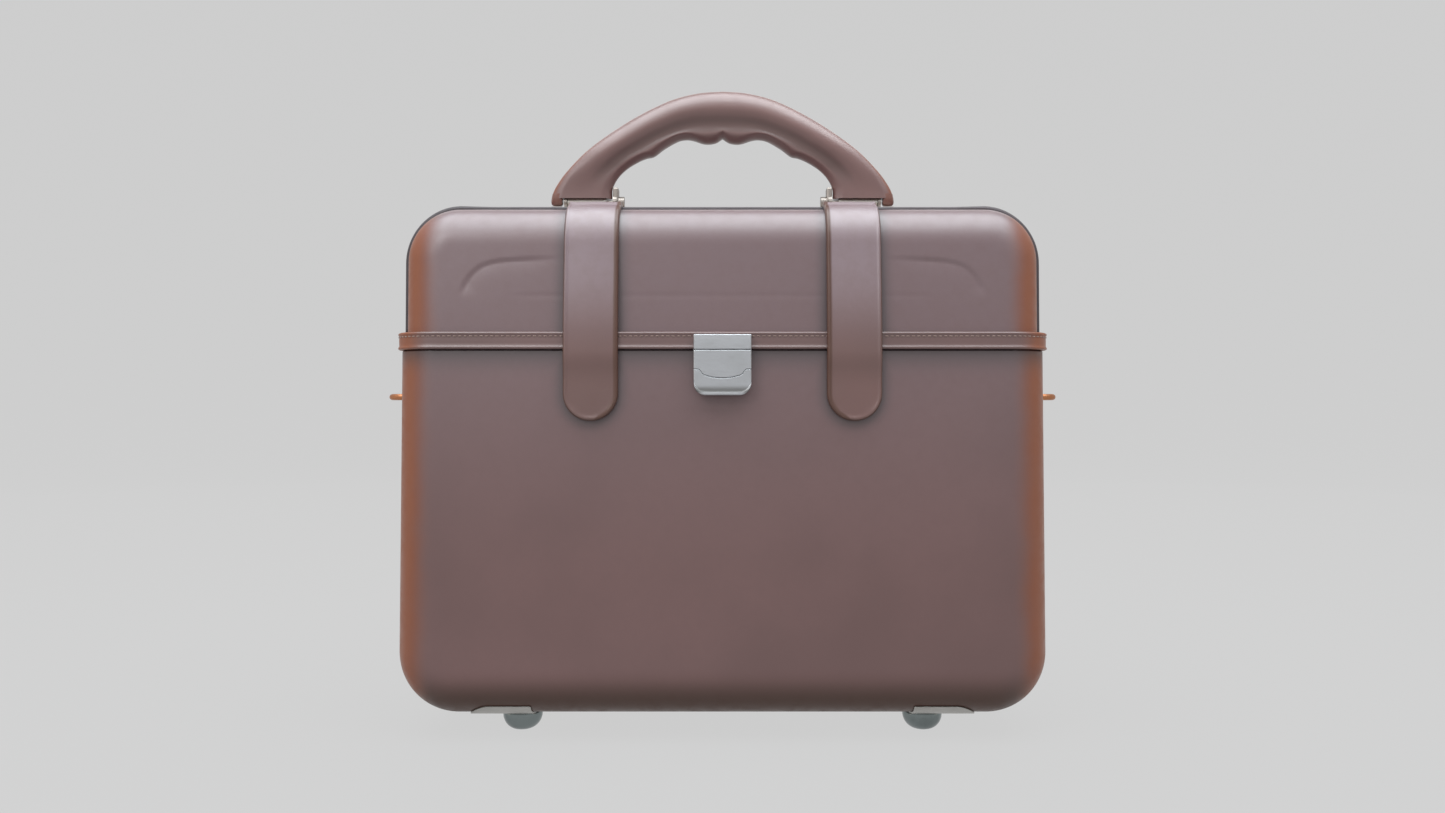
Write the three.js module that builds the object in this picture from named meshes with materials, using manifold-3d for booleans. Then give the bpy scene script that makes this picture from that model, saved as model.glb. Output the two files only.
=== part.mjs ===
// Leather briefcase: a hard-sided case with a hinged lid, two straps, a hasp lock and a swing handle.
// Millimetres, +Z up, +X to the case's left-to-right width, the front of the case faces -Y.
// The origin is on the floor under the middle of the case.
import * as THREE from 'three';
import { mergeVertices } from 'three/addons/utils/BufferGeometryUtils.js';
import Module from 'manifold-3d';

const wasm = await Module();
wasm.setup();

// ---- Driving dimensions -------------------------------------------------------------------------

const GAP = 0.3; // clearance between neighbouring pieces

const CASE = {
  width: 420, // outside, side wall to side wall
  lidWidth: 415, // the lid's side walls stand in from the body's, under the band
  baseZ: 15, // underside of the case, held up by the feet
  topZ: 343,
  halfDepth: 68, // at the base; the front and rear faces lean in from there
  lean: THREE.MathUtils.degToRad(2.5),
  topRadius: 33, // corners seen from the front
  bottomRadius: 38,
  edgeRadius: 25, // rounding between the faces and the sides
  wall: 4,
  lining: 2,
};

const SEAM = { z: 249.4, tongueTop: 255, tongueBottom: 240 };
const BAND = { height: 11.5, proud: 2.5 };
const WELT = { nearY: 36, width: 5, onLid: 2.4, onBody: 1.2 };

const STRAP = {
  x: 84,
  width: 34.5,
  thickness: 3,
  tipZ: 204,
  rearZ: 270,
  humpReach: 3, // how far the rise over the piping reaches to each side of it
  humpRise: 1.4,
  aboveBand: 4, // how far up the lid the thickening over the band goes
  foldDrop: 11, // from the seam down to where the strap lies flat again
};
const RIVET = { shank: 1.2, hole: 1.5, headThickness: 1 };
const STRAP_RIVET = { rise: 9, head: 4, headThickness: 1.4 };
const MAGNET = { radius: 6, thickness: 1.2, z: 221, recess: 0.6 };
const KEEPER_DISC = { radius: 8, thickness: 1, recess: 0.4 };

const HINGE = { halfLength: 150, barrel: 2.9, bore: 1.5, pin: 1.2, leaf: 1.2, leafHeight: 13, knuckles: 7 };

const LOCK = {
  halfWidth: 18.2,
  topZ: 258.8,
  bottomZ: 220.2,
  frontY: -66.9,
  backY: -62.5,
  axisZ: 247.5,
  barrel: 1.6,
  bore: 1,
  pin: 0.75,
  centreKnuckle: 4,
  cornerRadius: 6,
  lipZ: 236.8, // top of the thumb tab at its sides
  lipDip: 5.6, // how far the lip hangs down at the middle
  tabBackY: -64.2,
  pawlBackY: -62.2,
  pawlZ: [228.8, 231.2],
  slotZ: [222, 232],
  springRadius: 1,
  springWire: 0.32,
  springTurns: 4,
  plateSetback: 0.4, // the upper plate stands this far behind the hasp's face
  pawlHalf: 4,
  slotHalf: 4.6,
  keeperHalf: 13,
  keeperZ: [224, 245],
  keeperThickness: 1.3,
  keeperLipHalf: 6,
  keeperLipY: -61.8,
  keeperRootY: -59,
  keeperLipZ: [232, 235],
};

const HANDLE = {
  pivotZ: 354.5,
  footZ: 356.8,
  footHalfDepth: 4.2,
  gripHalfDepth: 12.5,
  coreHalfDepth: 1.5,
  barrel: 3,
  bore: 1.8,
  pin: 1.5,
  pinFrom: 70,
  pinTo: 109.8,
  pinHead: 3.8,
  pinHeadFrom: 68,
  pinHeadTo: 72.7,
  barrelFrom: 80.3,
  barrelTo: 107,
  neckHalf: 11,
  coreAtFoot: 9.5, // half width of the steel strip at its feet
  coreAtCrown: 5,
  coreRoom: 0.4, // clearance between the leather and the core
};
const INNER_EAR = { from: 73, to: 75.5, radius: 5.2 };
const OUTER_EAR = { from: 107.5, to: 109.3, radius: 3.4, room: 1 };

const BRACKET = { bottomZ: 346.6, topZ: 348.6, from: 65.5, to: 118, halfDepth: 11 };
const BRACKET_LAP = { from: 110.2, to: 117.5, halfDepth: 6, rise: 2 };
const BRACKET_RIVET = { x: 91, y: 7.6, head: 2.6 };
const FOOT = { x: 132.5, y: 30, radius: 13, height: 12.1, collar: 2, flat: 4, stem: 3 };
const FOOT_PLATE = { from: 117, to: 162, nearY: 15, farY: 61, thickness: 2.3, corner: 14 };
const RING = { barX: 214.5, z: 219.6, wire: 2.1, halfLength: 12, reach: 13.5, bend: 3 };
const RING_BRACKET = { thickness: 1.6, halfDepth: 6.5, halfHeight: 11, loop: 3.9, loopHalf: 5, bore: 2.5 };
const RING_RIVET = { spread: 7.6, head: 2.2 };

const BIG = 600; // size of the blocks that trim a piece

// ---- Materials ----------------------------------------------------------------------------------

const finish = (color, roughness, metalness) => new THREE.MeshStandardMaterial({ color, roughness, metalness });
const LEATHER = finish(0x76605f, 0.45, 0);
const STRAP_LEATHER = finish(0x785c58, 0.45, 0);
const BAND_LEATHER = finish(0x876c69, 0.45, 0);
const GRIP_LEATHER = finish(0x5f4842, 0.4, 0);
const WELT_LEATHER = finish(0x554e52, 0.55, 0);
const LINING_CLOTH = finish(0x8a7561, 0.95, 0);
const STEEL = finish(0x8f8b88, 0.35, 1);
const LOCK_STEEL = finish(0xaaadaf, 0.35, 1);
const DARK_CHROME = finish(0x5f6969, 0.12, 1);
const COPPER = finish(0x9b5f41, 0.35, 1);

// ---- Solids -------------------------------------------------------------------------------------

// A closed three.js geometry as a solid, its faces turned outwards.
function solid(geometry) {
  const bare = geometry.clone();
  bare.deleteAttribute('normal');
  bare.deleteAttribute('uv');
  const merged = mergeVertices(bare, 1e-4);
  const corners = merged.index.array;
  const triangles = [];
  for (let i = 0; i < corners.length; i += 3) {
    const [a, b, c] = [corners[i], corners[i + 1], corners[i + 2]];
    if (a !== b && b !== c && c !== a) triangles.push(a, b, c);
  }
  const vertProperties = new Float32Array(merged.attributes.position.array);
  const build = (list) =>
    new wasm.Manifold(new wasm.Mesh({ numProp: 3, vertProperties, triVerts: new Uint32Array(list) }));
  const body = build(triangles);
  return body.volume() < 0 ? build(triangles.reverse()) : body;
}

const join = (...bodies) => bodies.reduce((all, body) => all.add(body));
const cut = (body, ...cutters) => cutters.reduce((left, cutter) => left.subtract(cutter), body);

const MODEL = new THREE.Group();

function piece(name, body, material) {
  const { vertProperties, triVerts } = body.getMesh();
  const geometry = new THREE.BufferGeometry();
  geometry.setAttribute('position', new THREE.BufferAttribute(new Float32Array(vertProperties), 3));
  geometry.setIndex(new THREE.BufferAttribute(new Uint32Array(triVerts), 1));
  geometry.computeVertexNormals();
  const mesh = new THREE.Mesh(geometry, material);
  mesh.name = name;
  MODEL.add(mesh);
}

function box(x0, x1, y0, y1, z0, z1) {
  const geometry = new THREE.BoxGeometry(x1 - x0, y1 - y0, z1 - z0);
  return solid(geometry.translate((x0 + x1) / 2, (y0 + y1) / 2, (z0 + z1) / 2));
}

const slab = (z0, z1) => box(-BIG, BIG, -BIG, BIG, z0, z1);

// A round bar along X.
function barX(radius, x0, x1, y, z, sides = 14) {
  const geometry = new THREE.CylinderGeometry(radius, radius, x1 - x0, sides);
  return solid(geometry.rotateZ(Math.PI / 2).translate((x0 + x1) / 2, y, z));
}

function barY(radius, y0, y1, x, z, sides = 14) {
  const geometry = new THREE.CylinderGeometry(radius, radius, y1 - y0, sides);
  return solid(geometry.translate(x, (y0 + y1) / 2, z));
}

function barZ(radius, z0, z1, x, y, sides = 14) {
  const geometry = new THREE.CylinderGeometry(radius, radius, z1 - z0, sides);
  return solid(geometry.rotateX(Math.PI / 2).translate(x, y, (z0 + z1) / 2));
}

// A shape drawn in X and Z, as seen from the front, and pushed through from y0 to y1.
function frontPrism(shape, y0, y1, curveSegments = 6) {
  const geometry = new THREE.ExtrudeGeometry(shape, { depth: y1 - y0, bevelEnabled: false, curveSegments });
  return solid(geometry.rotateX(Math.PI / 2).translate(0, y1, 0));
}

// A shape drawn in Y and Z, as seen from the side, and pushed through from x0 to x1.
function sidePrism(shape, x0, x1, curveSegments = 6) {
  const geometry = new THREE.ExtrudeGeometry(shape, { depth: x1 - x0, bevelEnabled: false, curveSegments });
  return solid(geometry.rotateX(Math.PI / 2).rotateZ(Math.PI / 2).translate(x0, 0, 0));
}

// A skin over a row of rings with the same number of points. Open rows get flat ends.
function loft(rings, loop = false) {
  const count = rings[0].length;
  const index = [];
  const spans = loop ? rings.length : rings.length - 1;
  for (let r = 0; r < spans; r++) {
    const near = r * count;
    const far = ((r + 1) % rings.length) * count;
    for (let i = 0; i < count; i++) {
      const j = (i + 1) % count;
      index.push(near + i, near + j, far + j, near + i, far + j, far + i);
    }
  }
  if (!loop) {
    const last = (rings.length - 1) * count;
    for (let i = 1; i < count - 1; i++) index.push(0, i + 1, i, last, last + i, last + i + 1);
  }
  const geometry = new THREE.BufferGeometry().setFromPoints(rings.flat());
  return solid(geometry.setIndex(index));
}

// ---- The case's outer form ----------------------------------------------------------------------

// Depth of the leaning faces from the middle plane at height z.
const halfDepthAt = (z) => CASE.halfDepth - (z - CASE.baseZ) * Math.tan(CASE.lean);

// The case's outline seen from the front, grown or shrunk all round.
function caseOutline(grow, steps = 6) {
  const corner = (side, z, radius, start) => {
    const centre = new THREE.Vector2(side * (CASE.width / 2 - radius), z);
    return Array.from({ length: steps + 1 }, (_, i) => {
      const angle = start + (i / steps) * (Math.PI / 2);
      return new THREE.Vector2(Math.cos(angle), Math.sin(angle)).multiplyScalar(radius + grow).add(centre);
    });
  };
  const low = CASE.baseZ + CASE.bottomRadius;
  const high = CASE.topZ - CASE.topRadius;
  return [
    ...corner(1, low, CASE.bottomRadius, -Math.PI / 2),
    ...corner(1, high, CASE.topRadius, 0),
    ...corner(-1, high, CASE.topRadius, Math.PI / 2),
    ...corner(-1, low, CASE.bottomRadius, Math.PI),
  ];
}

// An outline point moved to depth y, with the lean of the faces taken into account.
function leaning(point, y, grow) {
  const squeeze = (halfDepthAt(point.y) + grow) / (CASE.halfDepth + grow);
  return new THREE.Vector3(point.x, y * squeeze, point.y);
}

// The whole case as one rounded block, grown or shrunk all round.
function caseForm(grow, edgeSteps = 4) {
  const radius = CASE.edgeRadius + grow;
  const front = Array.from({ length: edgeSteps + 1 }, (_, i) => {
    const angle = (i / edgeSteps) * (Math.PI / 2);
    const y = -(CASE.halfDepth + grow) + radius * (1 - Math.cos(angle));
    return { y, inset: radius * (1 - Math.sin(angle)) };
  });
  const rear = front.map(({ y, inset }) => ({ y: -y, inset })).reverse();
  const rings = [...front, ...rear].map(({ y, inset }) =>
    caseOutline(grow - inset).map((point) => leaning(point, y, grow)),
  );
  return loft(rings);
}

// A skin that lies on the case between two distances from its surface.
const caseSkin = (inner, outer) => cut(caseForm(outer), caseForm(inner));

// The lid's outside is the same form, drawn in at the sides.
const drawnIn = (body, grow) => body.scale([(CASE.lidWidth + 2 * grow) / (CASE.width + 2 * grow), 1, 1]);
const lidForm = (grow) => drawnIn(caseForm(grow), grow);

const PROUD = { strap: GAP + STRAP.thickness, band: GAP + BAND.proud };

// ---- Shells, lining and rim ---------------------------------------------------------------------

const footPlaces = [-1, 1].flatMap((front) => [-1, 1].map((side) => ({ front, side })));
const sides = [
  { side: -1, tag: 'left' },
  { side: 1, tag: 'right' },
];
const rivetHeights = [RING.z - RING_RIVET.spread, RING.z + RING_RIVET.spread];

function lowerShell() {
  const belowSeam = slab(-BIG, SEAM.z - GAP / 2);
  let shell = caseSkin(-CASE.wall, 0).intersect(belowSeam);
  for (const { front, side } of footPlaces) {
    const hole = barZ(FOOT.stem + GAP, 0, CASE.baseZ + 2 * CASE.wall, side * FOOT.x, front * FOOT.y);
    shell = shell.subtract(hole);
  }
  for (const { side } of sides) {
    const face = -halfDepthAt(MAGNET.z);
    const depth = KEEPER_DISC.recess + KEEPER_DISC.thickness + GAP;
    const seat = barY(KEEPER_DISC.radius + GAP, face - CASE.wall, face + depth, side * STRAP.x, MAGNET.z, 20);
    shell = shell.subtract(seat);
    for (const z of rivetHeights) {
      const half = CASE.width / 2;
      const hole = barX(RIVET.hole, half - 2 * CASE.wall, half + CASE.wall, 0, z, 10);
      shell = shell.subtract(side > 0 ? hole : hole.mirror([1, 0, 0]));
    }
  }
  piece('lower_shell', shell, LEATHER);
}

function lidShell() {
  const aboveSeam = slab(SEAM.z + GAP / 2, BIG);
  let shell = cut(lidForm(0), caseForm(-CASE.wall)).intersect(aboveSeam);
  for (const hole of [...bracketRivetHoles(), ...strapRivetHoles()]) shell = shell.subtract(hole);
  piece('lid_shell', shell, LEATHER);
}

function linings() {
  const inner = -CASE.wall - GAP - CASE.lining;
  const cloth = caseSkin(inner, -CASE.wall - GAP);
  piece('lower_lining', cloth.intersect(slab(-BIG, SEAM.tongueBottom - GAP)), LINING_CLOTH);
  piece('lid_lining', cloth.intersect(slab(SEAM.tongueTop + GAP, BIG)), LINING_CLOTH);
  piece('rim_tongue', cloth.intersect(slab(SEAM.tongueBottom, SEAM.tongueTop)), STEEL);
}

const bandGrown = () => caseForm(PROUD.band + GAP).intersect(slab(SEAM.z, SEAM.z + BAND.height + 2 * GAP));

function lidBand() {
  const ring = cut(caseForm(PROUD.band), lidForm(GAP)).intersect(slab(SEAM.z + GAP, SEAM.z + BAND.height));
  const hingeRoom = box(-HINGE.halfLength - 3, HINGE.halfLength + 3, 0, BIG, 0, BIG);
  piece('lid_band', ring.subtract(hingeRoom), BAND_LEATHER);
}

// The piping that closes the seam between the side walls and a face.
function welt(front, proud, clearance = 0) {
  const near = WELT.nearY - clearance;
  const far = WELT.nearY + WELT.width + clearance;
  const inner = caseOutline(clearance > 0 ? -1 : GAP);
  const outer = caseOutline(GAP + proud + clearance);
  const rings = inner.map((point, i) => [
    leaning(point, front * near, 0),
    leaning(outer[i], front * near, 0),
    leaning(outer[i], front * far, 0),
    leaning(point, front * far, 0),
  ]);
  return loft(rings, true);
}

function welts() {
  for (const [front, tag] of [[-1, 'front'], [1, 'rear']]) {
    const onLid = drawnIn(welt(front, WELT.onLid), GAP).intersect(slab(SEAM.z + BAND.height + GAP, BIG));
    const onBody = welt(front, WELT.onBody).intersect(slab(-BIG, SEAM.z - GAP));
    piece(`lid_welt_${tag}`, onLid, WELT_LEATHER);
    piece(`body_welt_${tag}`, onBody, WELT_LEATHER);
  }
}

// ---- Rear hinge ---------------------------------------------------------------------------------

const HINGE_Y = halfDepthAt(SEAM.z) + GAP + HINGE.barrel;

function hinge() {
  const span = (2 * HINGE.halfLength) / HINGE.knuckles;
  const rear = box(-HINGE.halfLength, HINGE.halfLength, 0, BIG, 0, BIG);
  const plate = caseSkin(GAP, GAP + HINGE.leaf).intersect(rear);
  const clear = HINGE.barrel + 2 * GAP;
  const leaves = {
    body: plate.intersect(slab(SEAM.z - clear - HINGE.leafHeight, SEAM.z - clear)),
    lid: plate.intersect(slab(SEAM.z + clear, SEAM.z + clear + HINGE.leafHeight)),
  };
  for (let k = 0; k < HINGE.knuckles; k++) {
    const x0 = -HINGE.halfLength + k * span + GAP / 2;
    const x1 = x0 + span - GAP;
    const owner = k % 2 ? 'lid' : 'body';
    const [low, high] = owner === 'lid' ? [SEAM.z, SEAM.z + clear + 1] : [SEAM.z - clear - 1, SEAM.z];
    const neck = plate.intersect(box(x0, x1, 0, BIG, low, high));
    leaves[owner] = join(leaves[owner], neck, barX(HINGE.barrel, x0, x1, HINGE_Y, SEAM.z));
  }
  const bore = barX(HINGE.bore, -BIG, BIG, HINGE_Y, SEAM.z, 10);
  piece('hinge_leaf_body', leaves.body.subtract(bore), STEEL);
  piece('hinge_leaf_lid', leaves.lid.subtract(bore), STEEL);
  piece('hinge_pin', barX(HINGE.pin, -HINGE.halfLength, HINGE.halfLength, HINGE_Y, SEAM.z, 10), STEEL);
}

// ---- Straps -------------------------------------------------------------------------------------

// Where the rigid strap end turns: on the strap's outer face, level with the lid's lower edge.
const STRAP_PIVOT = { z: SEAM.z + GAP, proud: PROUD.band + GAP + STRAP.thickness };

const STRAP_RIVET_Z = STRAP.rearZ + STRAP_RIVET.rise;

function strapRivetHoles() {
  const y = halfDepthAt(STRAP_RIVET_Z);
  const [from, to] = [y - 2 * CASE.wall, y + 2 * CASE.wall];
  return sides.map(({ side }) => barY(RIVET.hole, from, to, side * STRAP.x, STRAP_RIVET_Z, 10));
}

function strapUpper({ side, tag }) {
  const x0 = side * STRAP.x - STRAP.width / 2;
  const x1 = x0 + STRAP.width;
  const overLid = caseForm(PROUD.strap).intersect(box(x0, x1, -BIG, BIG, SEAM.z + BAND.height, BIG));
  const weltAtTop = (WELT.nearY * halfDepthAt(CASE.topZ)) / CASE.halfDepth;
  const humpFrom = weltAtTop - STRAP.humpReach;
  const humps = [-1, 1].map((front) => {
    const [near, far] = [front * humpFrom, front * (humpFrom + WELT.width + 2 * STRAP.humpReach)];
    const room = box(x0, x1, Math.min(near, far), Math.max(near, far), CASE.topZ - CASE.edgeRadius, BIG);
    return caseForm(PROUD.strap + STRAP.humpRise).intersect(room);
  });
  const bandRoom = box(x0, x1, -BIG, 0, STRAP_PIVOT.z + GAP / 2, SEAM.z + BAND.height + STRAP.aboveBand);
  const overBand = caseForm(STRAP_PIVOT.proud).intersect(bandRoom);
  let strap = cut(join(overLid, ...humps, overBand), caseForm(GAP), bandGrown());
  for (const front of [-1, 1]) strap = strap.subtract(welt(front, WELT.onLid, GAP));
  strap = strap.subtract(box(-BIG, BIG, 0, BIG, 0, STRAP.rearZ));
  for (const hole of [...bracketRivetHoles(), ...strapRivetHoles()]) strap = strap.subtract(hole);
  piece(`strap_${tag}`, strap, STRAP_LEATHER);
}

function strapRivets() {
  const z = STRAP_RIVET_Z;
  const face = halfDepthAt(z) + PROUD.strap + GAP;
  const inside = face - PROUD.strap - CASE.wall / 2;
  for (const { side, tag } of sides) {
    const head = barY(STRAP_RIVET.head, face, face + STRAP_RIVET.headThickness, side * STRAP.x, z, 16);
    const shank = barY(RIVET.shank, inside, face + RIVET.headThickness, side * STRAP.x, z, 10);
    piece(`strap_rivet_${tag}`, join(head, shank), STEEL);
  }
}

// The part of the strap below the lid, with its round tip. It comes off the band in a shallow double bend.
function strapEnd({ side, tag }) {
  const faceAt = (z, proud) => new THREE.Vector2(-halfDepthAt(z) - proud, z);
  const top = STRAP_PIVOT.z - GAP / 2;
  const profile = new THREE.Shape([
    faceAt(top, STRAP_PIVOT.proud),
    faceAt(SEAM.z - 4, STRAP_PIVOT.proud - 0.4),
    faceAt(SEAM.z - STRAP.foldDrop, PROUD.strap + 0.2),
    faceAt(STRAP.tipZ, PROUD.strap),
    faceAt(STRAP.tipZ, GAP),
    faceAt(SEAM.z - 6, GAP),
    faceAt(SEAM.z - GAP, STRAP_PIVOT.proud - STRAP.thickness),
    faceAt(top, STRAP_PIVOT.proud - STRAP.thickness),
  ]);
  const half = STRAP.width / 2;
  const x = side * STRAP.x;
  const outline = new THREE.Shape();
  outline.moveTo(x + half, BIG);
  outline.lineTo(x - half, BIG);
  outline.lineTo(x - half, STRAP.tipZ + half);
  outline.absarc(x, STRAP.tipZ + half, half, Math.PI, 2 * Math.PI, false);
  const body = sidePrism(profile, x - half, x + half).intersect(frontPrism(outline, -BIG, 0, 10));
  const magnetY = -halfDepthAt(MAGNET.z) - MAGNET.recess;
  const seat = barY(MAGNET.radius + GAP, magnetY - MAGNET.thickness - GAP, 0, x, MAGNET.z, 16);
  piece(`strap_end_${tag}`, body.subtract(seat), STRAP_LEATHER);
  const magnet = barY(MAGNET.radius, magnetY - MAGNET.thickness, magnetY, x, MAGNET.z, 16);
  piece(`strap_magnet_${tag}`, magnet, STEEL);
}

function strapKeepers() {
  const discY = -halfDepthAt(MAGNET.z) + KEEPER_DISC.recess;
  for (const { side, tag } of sides) {
    const disc = barY(KEEPER_DISC.radius, discY, discY + KEEPER_DISC.thickness, side * STRAP.x, MAGNET.z, 20);
    piece(`strap_keeper_${tag}`, disc, STEEL);
  }
}

// ---- Lock ---------------------------------------------------------------------------------------

const LOCK_AXIS_Y = LOCK.frontY + LOCK.barrel;

// The lock's face seen from the front, from its round lower corners up to topZ.
function lockFace(topZ, grow = 0) {
  const half = LOCK.halfWidth + grow;
  const radius = LOCK.cornerRadius;
  const low = LOCK.bottomZ - grow;
  const shape = new THREE.Shape();
  shape.moveTo(half, topZ);
  shape.lineTo(-half, topZ);
  shape.lineTo(-half, low + radius);
  shape.absarc(-half + radius, low + radius, radius, Math.PI, 1.5 * Math.PI, false);
  shape.lineTo(half - radius, low);
  shape.absarc(half - radius, low + radius, radius, 1.5 * Math.PI, 2 * Math.PI, false);
  return shape;
}

// The thumb tab's face: its upper edge follows the lip of the flap.
function tabFace(drop) {
  const half = LOCK.halfWidth;
  const lip = LOCK.lipZ - drop;
  const shape = lockFace(lip);
  const bow = new THREE.Shape();
  bow.moveTo(half - 5, lip + 1);
  bow.lineTo(-half + 5, lip + 1);
  bow.quadraticCurveTo(0, lip - 2 * LOCK.lipDip, half - 5, lip + 1);
  return { shape, bow };
}

function lock() {
  const { frontY, backY, axisZ, halfWidth, tabBackY } = LOCK;
  const clear = LOCK.barrel + GAP;
  const middle = LOCK.centreKnuckle;

  const plateY = frontY + LOCK.plateSetback;
  const plate = box(-halfWidth, halfWidth, plateY, 0, axisZ + clear, LOCK.topZ);
  const knuckle = join(
    barX(LOCK.barrel, -middle, middle, LOCK_AXIS_Y, axisZ),
    box(-middle, middle, plateY, frontY + 2 * LOCK.barrel, axisZ, axisZ + clear + 1),
  );
  const bore = barX(LOCK.bore, -BIG, BIG, LOCK_AXIS_Y, axisZ, 10);
  const upper = cut(join(plate.subtract(caseForm(PROUD.band + GAP)), knuckle), bore);
  piece('lock_upper_plate', upper, LOCK_STEEL);
  piece('hasp_pin', barX(LOCK.pin, -halfWidth, halfWidth, LOCK_AXIS_Y, axisZ, 10), STEEL);

  const { shape, bow } = tabFace(0);
  const tabFront = frontPrism(shape, frontY, tabBackY).subtract(frontPrism(bow, -BIG, 0));
  const pawl = box(-LOCK.pawlHalf, LOCK.pawlHalf, tabBackY - 0.5, LOCK.pawlBackY, ...LOCK.pawlZ);
  piece('thumb_tab', join(tabFront, pawl), LOCK_STEEL);

  const whole = frontPrism(lockFace(axisZ), frontY, backY);
  const pocket = tabFace(-GAP);
  const pocketBody = frontPrism(pocket.shape, -BIG, tabBackY + GAP).subtract(frontPrism(pocket.bow, -BIG, 0));
  const trimBelow = box(-BIG, BIG, -BIG, tabBackY + GAP, 0, LOCK.bottomZ + LOCK.cornerRadius);
  const knuckleRoom = box(-middle - GAP, middle + GAP, -BIG, 0, axisZ - clear, BIG);
  const barrel = barX(LOCK.barrel, -halfWidth, halfWidth, LOCK_AXIS_Y, axisZ);
  const body = cut(whole, pocketBody, trimBelow);
  const slotted = body.subtract(box(-LOCK.slotHalf, LOCK.slotHalf, tabBackY - 1, 0, ...LOCK.slotZ));
  piece('hasp_flap', cut(join(slotted, barrel), knuckleRoom, bore), LOCK_STEEL);
  piece('tab_spring', tabSpring(), STEEL);

  const keeperArea = box(-LOCK.keeperHalf, LOCK.keeperHalf, -BIG, 0, ...LOCK.keeperZ);
  const keeperPlate = caseSkin(GAP, GAP + LOCK.keeperThickness).intersect(keeperArea);
  const lipHalf = LOCK.keeperLipHalf;
  const lip = box(-lipHalf, lipHalf, LOCK.keeperLipY, LOCK.keeperRootY, ...LOCK.keeperLipZ);
  const keeperLip = lip.subtract(caseForm(GAP));
  piece('lock_keeper', join(keeperPlate, keeperLip), STEEL);
}

// The return spring under the thumb tab's pawl: a short coil standing along Z.
function tabSpring() {
  const turns = LOCK.springTurns;
  const steps = turns * 8;
  const wire = LOCK.springWire;
  const [low, high] = [LOCK.slotZ[0] + wire + GAP, LOCK.pawlZ[0] - wire - GAP];
  const rings = Array.from({ length: steps + 1 }, (_, i) => {
    const angle = (i / steps) * turns * 2 * Math.PI;
    const out = new THREE.Vector3(Math.cos(angle), Math.sin(angle), 0);
    const z = low + (high - low) * (i / steps);
    const middle = new THREE.Vector3(0, (LOCK.tabBackY + LOCK.keeperLipY) / 2 + 0.4, z);
    const centre = out.clone().multiplyScalar(LOCK.springRadius).add(middle);
    return Array.from({ length: 5 }, (_, k) => {
      const turn = (k / 5) * 2 * Math.PI;
      const step = out.clone().multiplyScalar(wire * Math.cos(turn)).setZ(wire * Math.sin(turn));
      return centre.clone().add(step);
    });
  });
  return loft(rings);
}

// ---- Handle -------------------------------------------------------------------------------------

// The handle's outer and inner edges, seen from the front, from the middle to one foot.
const HANDLE_OUTER = [[0, 430.4], [15, 429], [33, 423.8], [52.4, 415.4], [72, 404.4], [93, 390.1], [107.5, 376],
  [116, 364], [117.5, HANDLE.footZ]];
const HANDLE_INNER = [[0, 398.4], [12, 394.8], [24, 397], [35, 394], [47, 386.6], [57, 382.7], [71, 374.5],
  [76, 366], [76.3, HANDLE.footZ]];

function wholeEdge(half, steps) {
  const right = half.map(([x, z]) => new THREE.Vector2(x, z));
  const left = half.slice(1).map(([x, z]) => new THREE.Vector2(-x, z)).reverse();
  return new THREE.SplineCurve([...left, ...right]).getSpacedPoints(steps);
}

// Cross-sections along the handle. Each is a ring of points around the line between the two edges.
function handleRings(halfHeightAt, halfDepthAtStep, corners, power, steps = 40) {
  const outer = wholeEdge(HANDLE_OUTER, steps);
  const inner = wholeEdge(HANDLE_INNER, steps);
  return outer.map((edge, i) => {
    const across = edge.clone().sub(inner[i]);
    const centre = edge.clone().add(inner[i]).multiplyScalar(0.5);
    const rise = THREE.MathUtils.smoothstep(centre.y, HANDLE.footZ, HANDLE.footZ + 42);
    const halfHeight = halfHeightAt(across.length() / 2, rise);
    const depth = halfDepthAtStep(rise);
    across.normalize();
    return Array.from({ length: corners }, (_, k) => {
      const angle = ((k + 0.5) / corners) * 2 * Math.PI;
      const [c, s] = [Math.cos(angle), Math.sin(angle)];
      const along = Math.sign(c) * Math.abs(c) ** power * halfHeight;
      const sideways = Math.sign(s) * Math.abs(s) ** power * depth;
      return new THREE.Vector3(centre.x + across.x * along, sideways, centre.y + across.y * along);
    });
  });
}

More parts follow.
